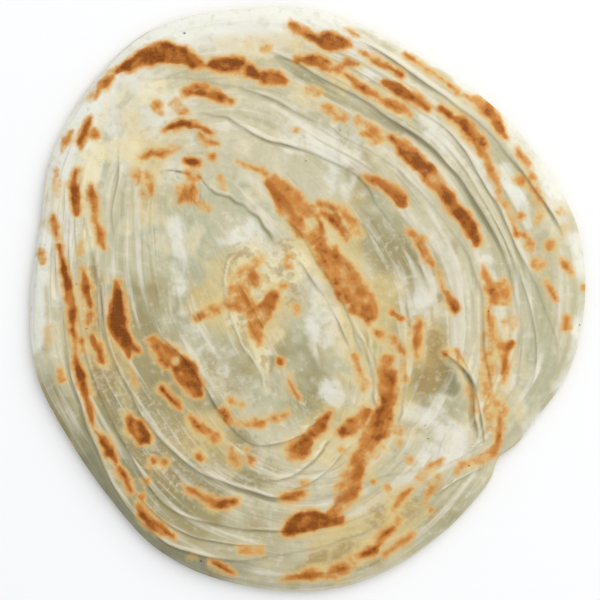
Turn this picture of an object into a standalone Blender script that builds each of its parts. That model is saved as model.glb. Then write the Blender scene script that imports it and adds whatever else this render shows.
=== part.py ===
"""A parotta: a pan-fried flatbread of oiled dough, pleated, coiled into a disc and pressed flat.

It lies on its flat underside. The origin is below its middle, at the bottom; +Z is up.
The coil is described by two numbers: a bearing, in degrees anticlockwise from +X, and a share,
which is 0 at the eye of the coil and 1 at the rim. Lengths are in millimetres until the mesh is made.
"""

from collections import namedtuple

import bpy
import numpy as np

METRES_PER_MM = 0.001

# The rim's distance from the middle, at even bearings all the way round.
RIM_RADII = (80.5, 81.2, 79.0, 78.0, 77.5, 80.5, 84.9, 87.7, 91.2, 89.5, 86.5, 82.0,
             81.8, 82.9, 81.4, 82.6, 85.9, 86.1, 85.6, 83.0, 78.6, 75.0, 74.5, 78.7)
# The coil's end is tucked in here and leaves a notch in the rim.
NOTCH_BEARING = 320.0
NOTCH_DEPTH = 2.2
NOTCH_WIDTH = 3.6

# The eye of the coil is a long narrow oval, left of the middle.
EYE_CENTRE = (-17.4, -0.3)
EYE_HALF_LENGTH = 32.6
EYE_HALF_WIDTH = 3.0
EYE_BEARING = -63.4

# Thickness without the folds.
CROWN_HEIGHT = 7.4
SHOULDER_HEIGHT = 5.4
RIM_HEIGHT = 2.4
TOP_ROUNDING = 8.0
UNDER_ROUNDING = 5.0

# Each side of a fold's edge: how far the raised lip and the hollow beside it reach.
EDGE_WIDTH = 1.3
LIP_REACH = 6.0
HOLLOW_REACH = 2.6
FOLD_FADE = 12.0
RELIEF_MARGIN = 3.0

OUTSIDE = 1
INSIDE = -1

# A fold runs from its first to its last bearing, through shares at even steps between them.
# The lip rises above the hollow on the side that is named. The row is the line of points that keeps to it.
Fold = namedtuple("Fold", "row first last rise hollow high_side shares")
FOLDS = {
    "deep_fold": Fold(30, -34, 98, 1.5, 2.4, OUTSIDE, (
        0.89, 0.82, 0.76, 0.738, 0.729, 0.719, 0.717, 0.775)),
    "outer_sheet": Fold(38, 10, 80, 0.8, 0.9, OUTSIDE, (
        0.95, 0.924, 0.914, 0.918, 0.93)),
    "middle_fold": Fold(34, -26, 52, 1.1, 1.3, OUTSIDE, (
        0.945, 0.94, 0.86, 0.80, 0.797, 0.81, 0.83)),
    "upper_fold": Fold(26, -28, 136, 1.1, 1.3, OUTSIDE, (
        0.80, 0.68, 0.66, 0.632, 0.615, 0.59, 0.55, 0.55, 0.595, 0.705, 0.89)),
    "eye_sheet": Fold(18, 6, 118, 0.9, 1.2, OUTSIDE, (
        0.50, 0.487, 0.48, 0.485, 0.422, 0.378, 0.435, 0.46)),
    "inner_curl": Fold(5, 40, 144, 0.8, 0.8, OUTSIDE, (
        0.12, 0.135, 0.11, 0.075, 0.11, 0.19, 0.37)),
    "centre_band": Fold(11, -42, 56, 1.2, 0.8, OUTSIDE, (
        0.37, 0.325, 0.283, 0.237, 0.207, 0.20, 0.218, 0.20)),
    "cavity_lip": Fold(19, -40, -8, 0.9, 2.2, OUTSIDE, (
        0.82, 0.70, 0.63, 0.49)),
    "tail_ribbon": Fold(22, -40, -6, 0.8, 0.5, OUTSIDE, (
        0.90, 0.80, 0.72, 0.63, 0.52)),
    "left_shallow": Fold(22, 138, 172, 0.5, 0.5, INSIDE, (
        0.65, 0.56, 0.565, 0.53)),
    "inner_left": Fold(13, 184, 290, 0.7, 0.7, INSIDE, (
        0.48, 0.435, 0.38, 0.353, 0.35, 0.345, 0.27, 0.19, 0.125)),
    "left_fold": Fold(26, 156, 314, 1.2, 1.4, INSIDE, (
        0.78, 0.675, 0.62, 0.628, 0.64, 0.645, 0.61, 0.56, 0.54, 0.53, 0.53, 0.58, 0.74)),
    "lower_fold": Fold(31, 150, 304, 0.8, 1.0, INSIDE, (
        0.91, 0.855, 0.805, 0.762, 0.775, 0.79, 0.82, 0.755, 0.70, 0.65, 0.64, 0.71)),
    "bottom_curl": Fold(18, 248, 302, 0.7, 0.7, INSIDE, (
        0.49, 0.46, 0.355, 0.265, 0.25)),
    "skirt_fold": Fold(36, 148, 308, 1.4, 1.4, INSIDE, (
        0.95, 0.925, 0.855, 0.815, 0.85, 0.905, 0.95, 0.935, 0.88, 0.79, 0.757, 0.75, 0.82)),
}

# Two short edges cross the coil. Each is a line whose left side is the raised one.
Edge = namedtuple("Edge", "rise hollow points")
EDGES = {
    "centre_flap": Edge(1.2, 0.7, (
        (-22.6, 14.3), (-25.3, 2.6), (-20.3, -12.6), (-15.0, -19.3), (-12.4, -27.2))),
    "notch_tuck": Edge(1.2, 1.3, (
        (36.0, -57.5), (42.5, -52.9), (49.2, -49.3), (55.6, -45.6))),
}
EDGE_FADE = 5.0

# Pale fried dough, as red, green and blue from 0 to 1, with a thin coat of oil.
DOUGH_COLOUR = (0.69, 0.62, 0.40)
DOUGH_ROUGHNESS = 0.5

# How finely the solid is divided. Rows act as a chain of springs that is pinned to the folds and the rim.
BEARING_COUNT = 120
ROW_COUNT = 44
PIN_STIFFNESS = 10000.0
FOLD_STIFFNESS = 100.0
# The distance from the rim of the last rows of the top.
RIM_ROWS = {-1: 0.0, -2: 0.3, -3: 1.4}
# The rows of the underside, of which the last bounds the flat face.
UNDER_SHARES = (0.995, 0.975, 0.94)


def smooth(value):
    """A soft ramp from 0 to 1."""
    ramp = np.clip(value, 0.0, 1.0)
    return ramp * ramp * (3.0 - 2.0 * ramp)


def curve_through(values, position, closed):
    """A Catmull-Rom curve through even values, read at a position counted in values."""
    count = len(values)
    table = np.array(values)
    base = np.floor(position).astype(int)
    if not closed:
        base = np.clip(base, 0, count - 2)
    part = position - base
    around = []
    for offset in (-1, 0, 1, 2):
        index = base + offset
        index = index % count if closed else np.clip(index, 0, count - 1)
        around.append(table[index])
    before, start, end, after = around
    slope = end - before
    bend = 2.0 * before - 5.0 * start + 4.0 * end - after
    twist = 3.0 * (start - end) + after - before
    return start + 0.5 * part * (slope + part * (bend + part * twist))


def rim_point(bearing):
    """Points of the rim, which is the bread's outline from above."""
    position = (bearing % 360.0) / 360.0 * len(RIM_RADII)
    from_notch = (bearing - NOTCH_BEARING + 180.0) % 360.0 - 180.0
    radius = curve_through(RIM_RADII, position, True)
    radius = radius - NOTCH_DEPTH * np.exp(-(from_notch / NOTCH_WIDTH) ** 2)
    turn = np.radians(bearing)
    return np.stack([radius * np.cos(turn), radius * np.sin(turn)], axis=-1)


def eye_point(bearing):
    """Points of the narrow oval round which the dough is coiled."""
    along = np.radians(EYE_BEARING)
    turn = np.radians(bearing - EYE_BEARING)
    long_axis = np.array([np.cos(along), np.sin(along)]) * EYE_HALF_LENGTH
    short_axis = np.array([-np.sin(along), np.cos(along)]) * EYE_HALF_WIDTH
    return np.array(EYE_CENTRE) + np.cos(turn)[..., None] * long_axis + np.sin(turn)[..., None] * short_axis


def coil_point(share, bearing):
    """A place on the bread seen from above."""
    eye = eye_point(bearing)
    return eye + share[..., None] * (rim_point(bearing) - eye)


def reach(bearing):
    """The distance from the eye to the rim at a bearing."""
    return np.linalg.norm(rim_point(bearing) - eye_point(bearing), axis=-1)


def step(distance, rise, hollow):
    """The height beside an edge; distance is positive on the raised side."""
    lip = rise * np.exp(-np.maximum(distance, 0.0) / LIP_REACH)
    groove = -hollow * np.exp(np.minimum(distance, 0.0) / HOLLOW_REACH)
    return groove + (lip - groove) * smooth(distance / EDGE_WIDTH + 0.5)


def fold_state(fold, bearing):
    """The share at which a fold runs, and its strength, which fades out at its two ends."""
    along = (bearing - fold.first) % 360.0
    length = fold.last - fold.first
    inside = along <= length
    position = np.where(inside, along, 0.0) / length * (len(fold.shares) - 1)
    fade = smooth(along / FOLD_FADE) * smooth((length - along) / FOLD_FADE)
    return curve_through(fold.shares, position, False), np.where(inside, fade, 0.0)


def fold_relief(fold, share, bearing):
    """The height that one fold adds or takes away."""
    line, strength = fold_state(fold, bearing)
    distance = (share - line) * reach(bearing)
    return strength * step(distance * fold.high_side, fold.rise, fold.hollow)


def edge_relief(edge, place):
    """The height that one short edge adds or takes away."""
    nearest = np.full(place.shape[:-1], np.inf)
    signed = np.zeros(place.shape[:-1])
    travelled = np.zeros(place.shape[:-1])
    length = 0.0
    points = np.array(edge.points)
    for start, end in zip(points[:-1], points[1:]):
        run = end - start
        offset = place - start
        part = np.clip(offset @ run / (run @ run), 0.0, 1.0)
        apart = np.linalg.norm(offset - part[..., None] * run, axis=-1)
        left = np.sign(run[0] * offset[..., 1] - run[1] * offset[..., 0])
        closer = apart < nearest
        signed = np.where(closer, left * apart, signed)
        travelled = np.where(closer, length + part * np.linalg.norm(run), travelled)
        nearest = np.where(closer, apart, nearest)
        length = length + np.linalg.norm(run)
    fade = smooth(travelled / EDGE_FADE) * smooth((length - travelled) / EDGE_FADE)
    return fade * step(signed, edge.rise, edge.hollow)


def top_height(share, bearing):
    """The height of the upper surface."""
    body = CROWN_HEIGHT + (SHOULDER_HEIGHT - CROWN_HEIGHT) * share ** 2
    relief = sum(fold_relief(fold, share, bearing) for fold in FOLDS.values())
    place = coil_point(share, bearing)
    relief = relief + sum(edge_relief(edge, place) for edge in EDGES.values())
    from_rim = (1.0 - share) * reach(bearing)
    relief = relief * smooth(from_rim / RELIEF_MARGIN)
    slope = 1.0 - np.clip(from_rim / TOP_ROUNDING, 0.0, 1.0)
    return RIM_HEIGHT + (body + relief - RIM_HEIGHT) * np.sqrt(1.0 - slope ** 2)


def under_height(share, bearing):
    """The height of the lower surface, which curls up to the rim."""
    from_rim = (1.0 - share) * reach(bearing)
    slope = 1.0 - np.clip(from_rim / UNDER_ROUNDING, 0.0, 1.0)
    return RIM_HEIGHT * (1.0 - np.sqrt(1.0 - slope ** 2))


def top_shares(bearings):
    """The share of each row at each bearing: rows spread evenly, but three of them keep to each fold."""
    count = len(bearings)
    stiffness = np.ones((count, ROW_COUNT - 1))
    rest = np.zeros((count, ROW_COUNT - 1))
    pull = np.zeros((count, ROW_COUNT))
    target = np.zeros((count, ROW_COUNT))
    half_step = EDGE_WIDTH / 2.0 / reach(bearings)
    for fold in FOLDS.values():
        line, strength = fold_state(fold, bearings)
        pull[:, fold.row] += PIN_STIFFNESS * strength
        target[:, fold.row] += PIN_STIFFNESS * strength * line
        for gap in (fold.row - 1, fold.row):
            stiffness[:, gap] += FOLD_STIFFNESS * strength
            rest[:, gap] += strength * half_step
    pull[:, 0] = PIN_STIFFNESS
    for row, from_rim in RIM_ROWS.items():
        pull[:, row] = PIN_STIFFNESS
        target[:, row] = PIN_STIFFNESS * (1.0 - from_rim / reach(bearings))
    return settled_chain(stiffness, rest, pull, target)


def settled_chain(stiffness, rest, pull, target):
    """Where the rows come to rest between their springs and pins, one chain for each bearing."""
    count, rows = pull.shape
    matrix = np.zeros((count, rows, rows))
    force = target.copy()
    for row in range(rows):
        matrix[:, row, row] += pull[:, row]
    for gap in range(rows - 1):
        matrix[:, gap, gap] += stiffness[:, gap]
        matrix[:, gap + 1, gap + 1] += stiffness[:, gap]
        matrix[:, gap, gap + 1] -= stiffness[:, gap]
        matrix[:, gap + 1, gap] -= stiffness[:, gap]
        force[:, gap] -= stiffness[:, gap] * rest[:, gap]
        force[:, gap + 1] += stiffness[:, gap] * rest[:, gap]
    return np.linalg.solve(matrix, force[..., None])[..., 0]


def surface_points():
    """Rings of points, from the eye over the top to the rim and back under to the flat face."""
    bearings = EYE_BEARING + np.arange(BEARING_COUNT) * 360.0 / BEARING_COUNT
    upper = top_shares(bearings)
    around = np.repeat(bearings[:, None], ROW_COUNT, axis=1)
    top = np.dstack([coil_point(upper, around), top_height(upper, around)])
    lower = np.tile(np.array(UNDER_SHARES), (BEARING_COUNT, 1))
    around = np.repeat(bearings[:, None], len(UNDER_SHARES), axis=1)
    under = np.dstack([coil_point(lower, around), under_height(lower, around)])
    under[:, -1, 2] = 0.0
    return np.concatenate([top, under], axis=1)


def centred(points):
    """The points moved sideways so that the middle of their box is at the origin."""
    middle = (points.min(axis=(0, 1)) + points.max(axis=(0, 1))) / 2.0
    return points - np.array([middle[0], middle[1], 0.0])


def surface_faces(rows):
    """Faces between the rings, across the eye, and over the flat underside."""
    faces = []
    for turn in range(BEARING_COUNT):
        here = turn * rows
        there = (turn + 1) % BEARING_COUNT * rows
        for row in range(rows - 1):
            faces.append((here + row, here + row + 1, there + row + 1, there + row))
    half = BEARING_COUNT // 2
    faces.append((0, rows, (BEARING_COUNT - 1) * rows))
    for turn in range(1, half - 1):
        near = BEARING_COUNT - turn
        faces.append((turn * rows, (turn + 1) * rows, (near - 1) * rows, near * rows))
    faces.append(((half - 1) * rows, half * rows, (half + 1) * rows))
    faces.append([turn * rows + rows - 1 for turn in reversed(range(BEARING_COUNT))])
    return faces


def dough_material():
    """The finish of the whole bread."""
    material = bpy.data.materials.new("fried_dough")
    material.use_nodes = True
    shader = material.node_tree.nodes["Principled BSDF"]
    shader.inputs["Base Color"].default_value = (*DOUGH_COLOUR, 1.0)
    shader.inputs["Roughness"].default_value = DOUGH_ROUGHNESS
    shader.inputs["Metallic"].default_value = 0.0
    return material


def make_parotta():
    """The bread as one closed solid."""
    points = centred(surface_points()) * METRES_PER_MM
    rows = points.shape[1]
    mesh = bpy.data.meshes.new("parotta")
    mesh.from_pydata(points.reshape(-1, 3).tolist(), [], surface_faces(rows))
    mesh.validate()
    mesh.shade_smooth()
    mesh.materials.append(dough_material())
    bread = bpy.data.objects.new("parotta", mesh)
    bpy.context.collection.objects.link(bread)
    return bread


for leftover in list(bpy.data.objects):
    bpy.data.objects.remove(leftover)
make_parotta()
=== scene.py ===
"""The looks of a parotta: a flatbread of oiled dough, pleated, coiled into a disc and fried on a flat pan.

The bread is one closed mesh that follows the same rim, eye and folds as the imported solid, with thin
overhanging lips, fine flaking, toasted marks and a coiled, fried underside.
Two numbers give a place on the coil: a bearing, in degrees anticlockwise from +X, and a share,
which is 0 at the eye of the coil and 1 at the rim. Lengths are in millimetres until the mesh is made.
"""

from collections import namedtuple

import bpy
import numpy as np
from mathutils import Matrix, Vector


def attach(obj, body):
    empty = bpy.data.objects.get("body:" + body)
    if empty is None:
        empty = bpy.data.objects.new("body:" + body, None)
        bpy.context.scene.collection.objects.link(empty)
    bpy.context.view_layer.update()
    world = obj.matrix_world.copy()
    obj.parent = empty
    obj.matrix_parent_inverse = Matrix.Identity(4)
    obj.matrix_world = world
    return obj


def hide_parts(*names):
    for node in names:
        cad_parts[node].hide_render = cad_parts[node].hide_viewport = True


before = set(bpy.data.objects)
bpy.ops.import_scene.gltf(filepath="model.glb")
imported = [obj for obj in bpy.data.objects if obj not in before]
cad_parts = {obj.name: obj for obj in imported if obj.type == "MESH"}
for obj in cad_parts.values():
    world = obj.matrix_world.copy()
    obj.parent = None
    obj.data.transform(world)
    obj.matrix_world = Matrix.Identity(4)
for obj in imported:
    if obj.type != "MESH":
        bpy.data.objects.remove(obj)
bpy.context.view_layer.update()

METRES_PER_MM = 0.001
MM_PER_METRE = 1000.0
FULL_TURN = 360.0

# The photograph looks straight down. This pixel of it is above the middle of the rim's own circle.
PHOTO_MIDDLE = (309.5, 299.0)
PHOTO_SIDE = 600
MM_PER_PIXEL = 0.292

# The rim's distance from the middle, at even bearings all the way round.
RIM_RADII = (80.5, 81.2, 79.0, 78.0, 77.5, 80.5, 84.9, 87.7, 91.2, 89.5, 86.5, 82.0,
             81.8, 82.9, 81.4, 82.6, 85.9, 86.1, 85.6, 83.0, 78.6, 75.0, 74.5, 78.7)
NOTCH_BEARING = 320.0
NOTCH_DEPTH = 2.2
NOTCH_WIDTH = 3.6

# The eye of the coil is a long narrow oval, left of the middle.
EYE_CENTRE = (-17.4, -0.3)
EYE_HALF_LENGTH = 32.6
EYE_HALF_WIDTH = 3.0
EYE_BEARING = -63.4

# Thickness without the folds.
CROWN_HEIGHT = 7.4
SHOULDER_HEIGHT = 5.4
RIM_HEIGHT = 2.4
TOP_ROUNDING = 8.0
UNDER_ROUNDING = 5.0

# Each side of a fold's edge: how far the raised lip and the hollow beside it reach.
LIP_REACH = 6.0
HOLLOW_REACH = 2.6
# A fold fades away over this many degrees at each of its ends, and all relief over this many millimetres at
# the rim.
FOLD_FADE = 12.0
RELIEF_MARGIN = 3.0

# The section of a fold of full width, from its hollow to its lip: the distance along the dough, where that
# comes to lie across the fold, and how far up from the hollow to the lip. The lip hangs over the hollow.
FOLD_ALONG = (-1.6, -0.9, -0.45, -0.2, 0.0, 0.2, 0.45, 0.9, 1.6)
FOLD_ACROSS = (-1.6, -0.9, -0.43, -0.17, -0.08, -0.08, 0.18, 0.82, 1.6)
FOLD_CLIMB = (0.0, 0.05, 0.12, 0.28, 0.50, 0.74, 0.92, 0.99, 1.0)
# Which of these is the middle of the wall.
FOLD_MIDDLE = 4
# A fold that stands at least this high over its hollow has such a wall. Lower ones hang over less.
STEEP_HEIGHT = 2.2
# A fold's line strays to each side by up to this part of its width, this many times a turn.
FOLD_WANDER = 0.35
WANDER_CELLS = 72
# A fold swells and sinks along its length: its height on average, and how much more or less it may be, as
# parts of its full height, and how often that changes in a turn.
SWELL_MIDDLE = 0.8
SWELL_RANGE = 0.4
SWELL_CELLS = 28
SWELL_SEED = 100
# A hollow has a floor, this wide for each millimetre of its depth, and on its far side a bank, which is
# this part of its depth and this wide.
HOLLOW_FLOOR = 1.0
HOLLOW_BANK = 0.45
HOLLOW_BANK_WIDTH = 0.8
# A band of the hollow is darkened, partly by oil and partly with painted shade: its least width, how much
# wider it is for each millimetre of depth, how soft its edge is, how far it climbs the fold's wall and how
# softly it ends there, and how strong it is beside the shallowest folds.
OIL_AND_SHADE_WIDTH = 0.7
OIL_AND_SHADE_SPREAD = 0.9
OIL_AND_SHADE_SOFTNESS = 1.2
OIL_AND_SHADE_EDGE = 0.1
OIL_AND_SHADE_EDGE_SOFTNESS = 0.6
OIL_AND_SHADE_LEAST = 0.4
# The painted highlight along a lip: its middle, its width, and how strong it is on the lowest folds.
LIP_MIDDLE = 0.9
LIP_SPREAD = 0.8
LIP_LEAST = 0.5

# The raised side of a fold: the one towards the rim, or the one towards the eye.
OUTSIDE = 1
INSIDE = -1

# A fold runs from its first to its last bearing, through shares at even steps between them, in a lane of
# rows of its own. The lip rises above the hollow on the side that is named. Width is 1 for a thick sheet.
# Strengths, at even steps too, are the parts of its full height that it has along the way.
Fold = namedtuple("Fold", "lane first last rise hollow width high_side shares strengths",
                  defaults=((1.0, 1.0),))
FOLDS = {
    "inner_curl": Fold(1, 40, 144, 0.3, 0.3, 1.0, OUTSIDE, (
        0.12, 0.135, 0.11, 0.075, 0.11, 0.19, 0.37)),
    "band_inner": Fold(2, -14, 40, 0.2, 0.2, 0.6, OUTSIDE, (
        0.225, 0.205, 0.185, 0.17, 0.165)),
    "centre_band": Fold(3, -42, 56, 0.55, 0.35, 1.0, OUTSIDE, (
        0.37, 0.325, 0.283, 0.247, 0.225, 0.215, 0.218, 0.20)),
    "band_strand": Fold(4, -42, -2, 0.25, 0.2, 0.6, OUTSIDE, (
        0.41, 0.365, 0.325, 0.30, 0.275)),
    "band_outer": Fold(5, -46, -6, 0.25, 0.25, 0.7, OUTSIDE, (
        0.53, 0.475, 0.44, 0.41, 0.40)),
    "eye_sheet": Fold(6, 6, 118, 0.5, 0.45, 1.0, OUTSIDE, (
        0.50, 0.487, 0.48, 0.485, 0.422, 0.378, 0.435, 0.46),
        (0.4, 0.5, 0.7, 1.0, 1.0, 0.8, 0.7, 0.6)),
    "cavity_lip": Fold(7, -42, -6, 0.9, 1.4, 0.9, OUTSIDE, (
        0.88, 0.76, 0.65, 0.48)),
    "tail_ribbon": Fold(8, -42, -6, 0.4, 0.35, 0.6, OUTSIDE, (
        0.935, 0.82, 0.72, 0.63, 0.55)),
    "upper_fold": Fold(9, -28, 136, 0.5, 0.5, 0.9, OUTSIDE, (
        0.80, 0.68, 0.66, 0.632, 0.615, 0.59, 0.55, 0.55, 0.595, 0.705, 0.89),
        (1.0, 0.8, 0.5, 0.4, 0.5, 0.6, 0.6, 0.6, 0.4, 0.4, 0.3)),
    "deep_fold": Fold(11, -34, 98, 0.75, 0.85, 0.9, OUTSIDE, (
        0.89, 0.82, 0.765, 0.742, 0.745, 0.73, 0.717, 0.775),
        (0.2, 0.2, 0.3, 0.8, 1.0, 1.0, 1.0, 0.6)),
    "deep_twin": Fold(12, -24, 26, 0.12, 0.12, 0.5, OUTSIDE, (
        0.90, 0.86, 0.81, 0.773, 0.765)),
    "middle_fold": Fold(13, -26, 52, 0.6, 0.8, 0.9, OUTSIDE, (
        0.945, 0.94, 0.86, 0.80, 0.797, 0.81, 0.83),
        (0.4, 0.5, 0.6, 0.7, 0.5, 0.4, 0.4)),
    "outer_sheet": Fold(15, 10, 80, 0.5, 0.5, 0.8, OUTSIDE, (
        0.95, 0.924, 0.914, 0.918, 0.93)),
    "left_shallow": Fold(7, 138, 172, 0.3, 0.3, 0.5, INSIDE, (
        0.65, 0.56, 0.565, 0.53)),
    "inner_left": Fold(3, 197, 290, 0.4, 0.4, 0.6, INSIDE, (
        0.41, 0.35, 0.335, 0.345, 0.345, 0.27, 0.19, 0.125)),
    "bottom_curl": Fold(4, 248, 302, 0.35, 0.3, 0.8, INSIDE, (
        0.49, 0.46, 0.355, 0.265, 0.25)),
    "bottom_strand": Fold(6, 262, 306, 0.3, 0.3, 0.4, INSIDE, (
        0.505, 0.455, 0.39, 0.345, 0.345)),
    "left_fold": Fold(9, 156, 314, 0.7, 0.8, 0.9, INSIDE, (
        0.78, 0.675, 0.62, 0.628, 0.64, 0.645, 0.61, 0.56, 0.54, 0.53, 0.53, 0.58, 0.74),
        (0.3, 0.3, 0.4, 0.5, 0.5, 0.7, 0.9, 1.0, 0.9, 0.4, 0.3, 0.3, 0.3)),
    "lower_fold": Fold(12, 150, 291, 0.5, 0.5, 0.7, INSIDE, (
        0.89, 0.83, 0.77, 0.735, 0.77, 0.79, 0.82, 0.755, 0.70, 0.68, 0.665),
        (0.3, 0.3, 0.3, 0.4, 0.6, 0.7, 0.7, 0.7, 0.7, 0.5, 0.4)),
    "skirt_twin": Fold(13, 224, 264, 0.3, 0.3, 0.5, INSIDE, (
        0.88, 0.875, 0.825, 0.77)),
    "skirt_fold": Fold(14, 148, 295, 0.9, 0.8, 0.9, INSIDE, (
        0.95, 0.925, 0.855, 0.815, 0.85, 0.905, 0.95, 0.935, 0.88, 0.79, 0.757, 0.75),
        (0.3, 0.3, 0.3, 0.4, 0.8, 1.0, 1.0, 1.0, 0.7, 0.5, 0.4, 0.3)),
}

# Short edges cross the coil. Each is a line of points in millimetres from the middle. Its left side is the
# raised one, and its rim gets a painted highlight this strong.
Edge = namedtuple("Edge", "rise hollow paleness points")
EDGES = {
    "centre_flap": Edge(0.45, 0.3, 1.0, (
        (-20.6, 14.5), (-23.8, 11.2), (-24.9, 6.0), (-24.4, -0.3), (-22.5, -6.0), (-19.7, -13.4),
        (-15.9, -18.4), (-13.9, -22.2), (-13.0, -28.0))),
    "notch_tuck": Edge(0.7, 0.8, 0.6, (
        (36.0, -57.5), (42.5, -52.9), (49.2, -49.3), (55.6, -45.6))),
    "tail_ridge": Edge(0.4, 0.3, 0.3, (
        (36.9, -49.9), (40.4, -47.6), (44.5, -45.8), (48.6, -42.9), (50.4, -38.3), (51.0, -33.9))),
    "notch_pleat": Edge(0.35, 0.35, 0.3, (
        (46.6, -50.8), (41.9, -56.0), (36.1, -62.4), (32.3, -68.8))),
    "outer_pleat": Edge(0.3, 0.35, 0.3, (
        (50.6, -52.4), (45.1, -58.0), (40.2, -63.7), (36.5, -69.2))),
}
# How wide an edge is, how wide the painted highlight along its rim is, and how far from its ends it fades.
EDGE_WIDTH = 0.8
EDGE_RIM = 0.4
EDGE_FADE = 5.0

# Between the folds, thin sheets overlap like roof tiles: the width of a sheet, the height of its edge, and
# the part of its width over which the edge slopes.
PLEAT_WIDTH = 3.4
PLEAT_HEIGHT = 0.17
PLEAT_SLOPE = 0.3
# An edge strays by up to this part of a sheet, this many times a turn.
PLEAT_WANDER = 0.5
PLEAT_CELLS = 16
# The sheets show in patches: their size across the coil, their number in a turn, how much of the bread has
# them, and how strong they are away from the places that the photograph shows lined.
PLEAT_PATCH = 9.0
PLEAT_PATCH_CELLS = 22
PLEAT_SHARE = 0.75
PLEAT_LEAST = 0.3
# The painted highlight on the top and the painted shade at the foot of an edge are lines this wide, as a
# part of a sheet.
PLEAT_LINE = 0.2
PLEAT_SEED = 200
# The sheets' edges face the eye of the coil on this side of the bread, and the rim on the other. The higher
# the second number, the shorter the change from one to the other.
PLEAT_SIDE_BEARING = 50.0
PLEAT_SIDE_CHANGE = 2.0
# The sheets follow the rows of the mesh, which keep to the folds, as much as the coil. A row counts as wide
# as this.
ROW_WIDTH = 0.45
# Places along the coil are counted in millimetres of a bread with this reach from the eye to the rim.
COIL_REACH = 76.0
# The small waves of the dough: size across the coil, number in a turn, and height.
DOUGH_WAVES = ((7.0, 32, 0.25), (3.2, 60, 0.18), (1.6, 110, 0.10))
WAVE_SEED = 40
# A grain repeats after this many bumps across the coil.
GRAIN_ROWS = 97
# The underside has the turns of the coil pressed flat, with shallow grooves between them: the width of a
# pressed turn, and the width and depth of a groove.
UNDER_PLEAT = 7.0
UNDER_GROOVE_WIDTH = 0.7
UNDER_GROOVE_DEPTH = 0.45
# A groove strays by up to this part of a pressed turn, and how often it strays and changes its depth on the
# way round.
UNDER_STRAY = 0.5
UNDER_STRAY_CELLS = 8
UNDER_DEPTH_CELLS = 16
UNDER_SEED = 60
# The rim shows the edges of thin layers: their thickness, by what part of it they stray up and down, how
# often they change on the way round, and how far in one may lie.
LAYER_THICKNESS = 0.75
LAYER_STRAY = 0.5
LAYER_CELLS = 26
LAYER_INSET = 0.5
# Each layer takes its inset from a row of the grain, so many rows past the one of the layer below it.
LAYER_GRAIN_STEP = 3.0
# The seam between two layers: its depth, its width, and how strongly oil and painted shade darken it.
LAYER_SEAM_DEPTH = 0.35
LAYER_SEAM_WIDTH = 0.12
SEAM_OIL_AND_SHADE = 0.3
# The layers show as far as this from the rim.
LAYER_MARGIN = 3.5
LAYER_SEED = 70

# How finely the bread is divided: bearings all the way round, lanes of rows from the eye to the rim, and
# strips across the eye, above and below.
BEARING_COUNT = 440
LANE_COUNT = 17
LANE_ROWS = 10
EYE_STRIPS = 8
UNDER_EYE_STRIPS = 2
# How the lanes settle: how firmly a fold holds its lane and how fast that drops as the fold fades, how much
# a lane keeps to its own run, how many times they are settled, and the least distance between two.
PIN_STIFFNESS = 5000.0
PIN_FADE = 4
SIDE_STIFFNESS = 12.0
SETTLING_SWEEPS = 1500
LEAST_LANE = 0.5
# How the rows of a lane lie: how soon a fold draws them together, how much of the room to the next lane
# they may take there, and how much of its even distance the outermost one keeps.
FOLD_DRAW = 2.5
FOLD_ROOM = 0.9
LAST_ROW_ROOM = 0.6
# The distance from the rim of the last rows of the top and of the first of the underside, and how many
# more rows there are from there to the eye.
RIM_STEPS = (2.7, 2.1, 1.6, 1.2, 0.9, 0.64, 0.44, 0.28, 0.16, 0.07, 0.02, 0.0)
UNDER_STEPS = (0.03, 0.12, 0.27, 0.48, 0.75, 1.1, 1.55, 2.1, 2.8, 3.7, 5.0)
UNDER_ROWS = 25

# Broad dents where a sheet has sunk between its folds. Each has its depth in millimetres, and a path of
# pixels in the photograph: across, down and width.
DENTS = (
    (1.2, (426, 345, 26), (436, 366, 40), (446, 388, 36), (454, 404, 16)),
    (0.5, (165, 240, 50), (190, 290, 70), (205, 340, 60)),
    (0.5, (285, 330, 50), (305, 375, 60)),
    (0.5, (388, 250, 44), (405, 300, 46)),
    (0.4, (150, 450, 36), (180, 485, 40)),
    (0.4, (235, 215, 50), (265, 240, 40)),
)

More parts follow.
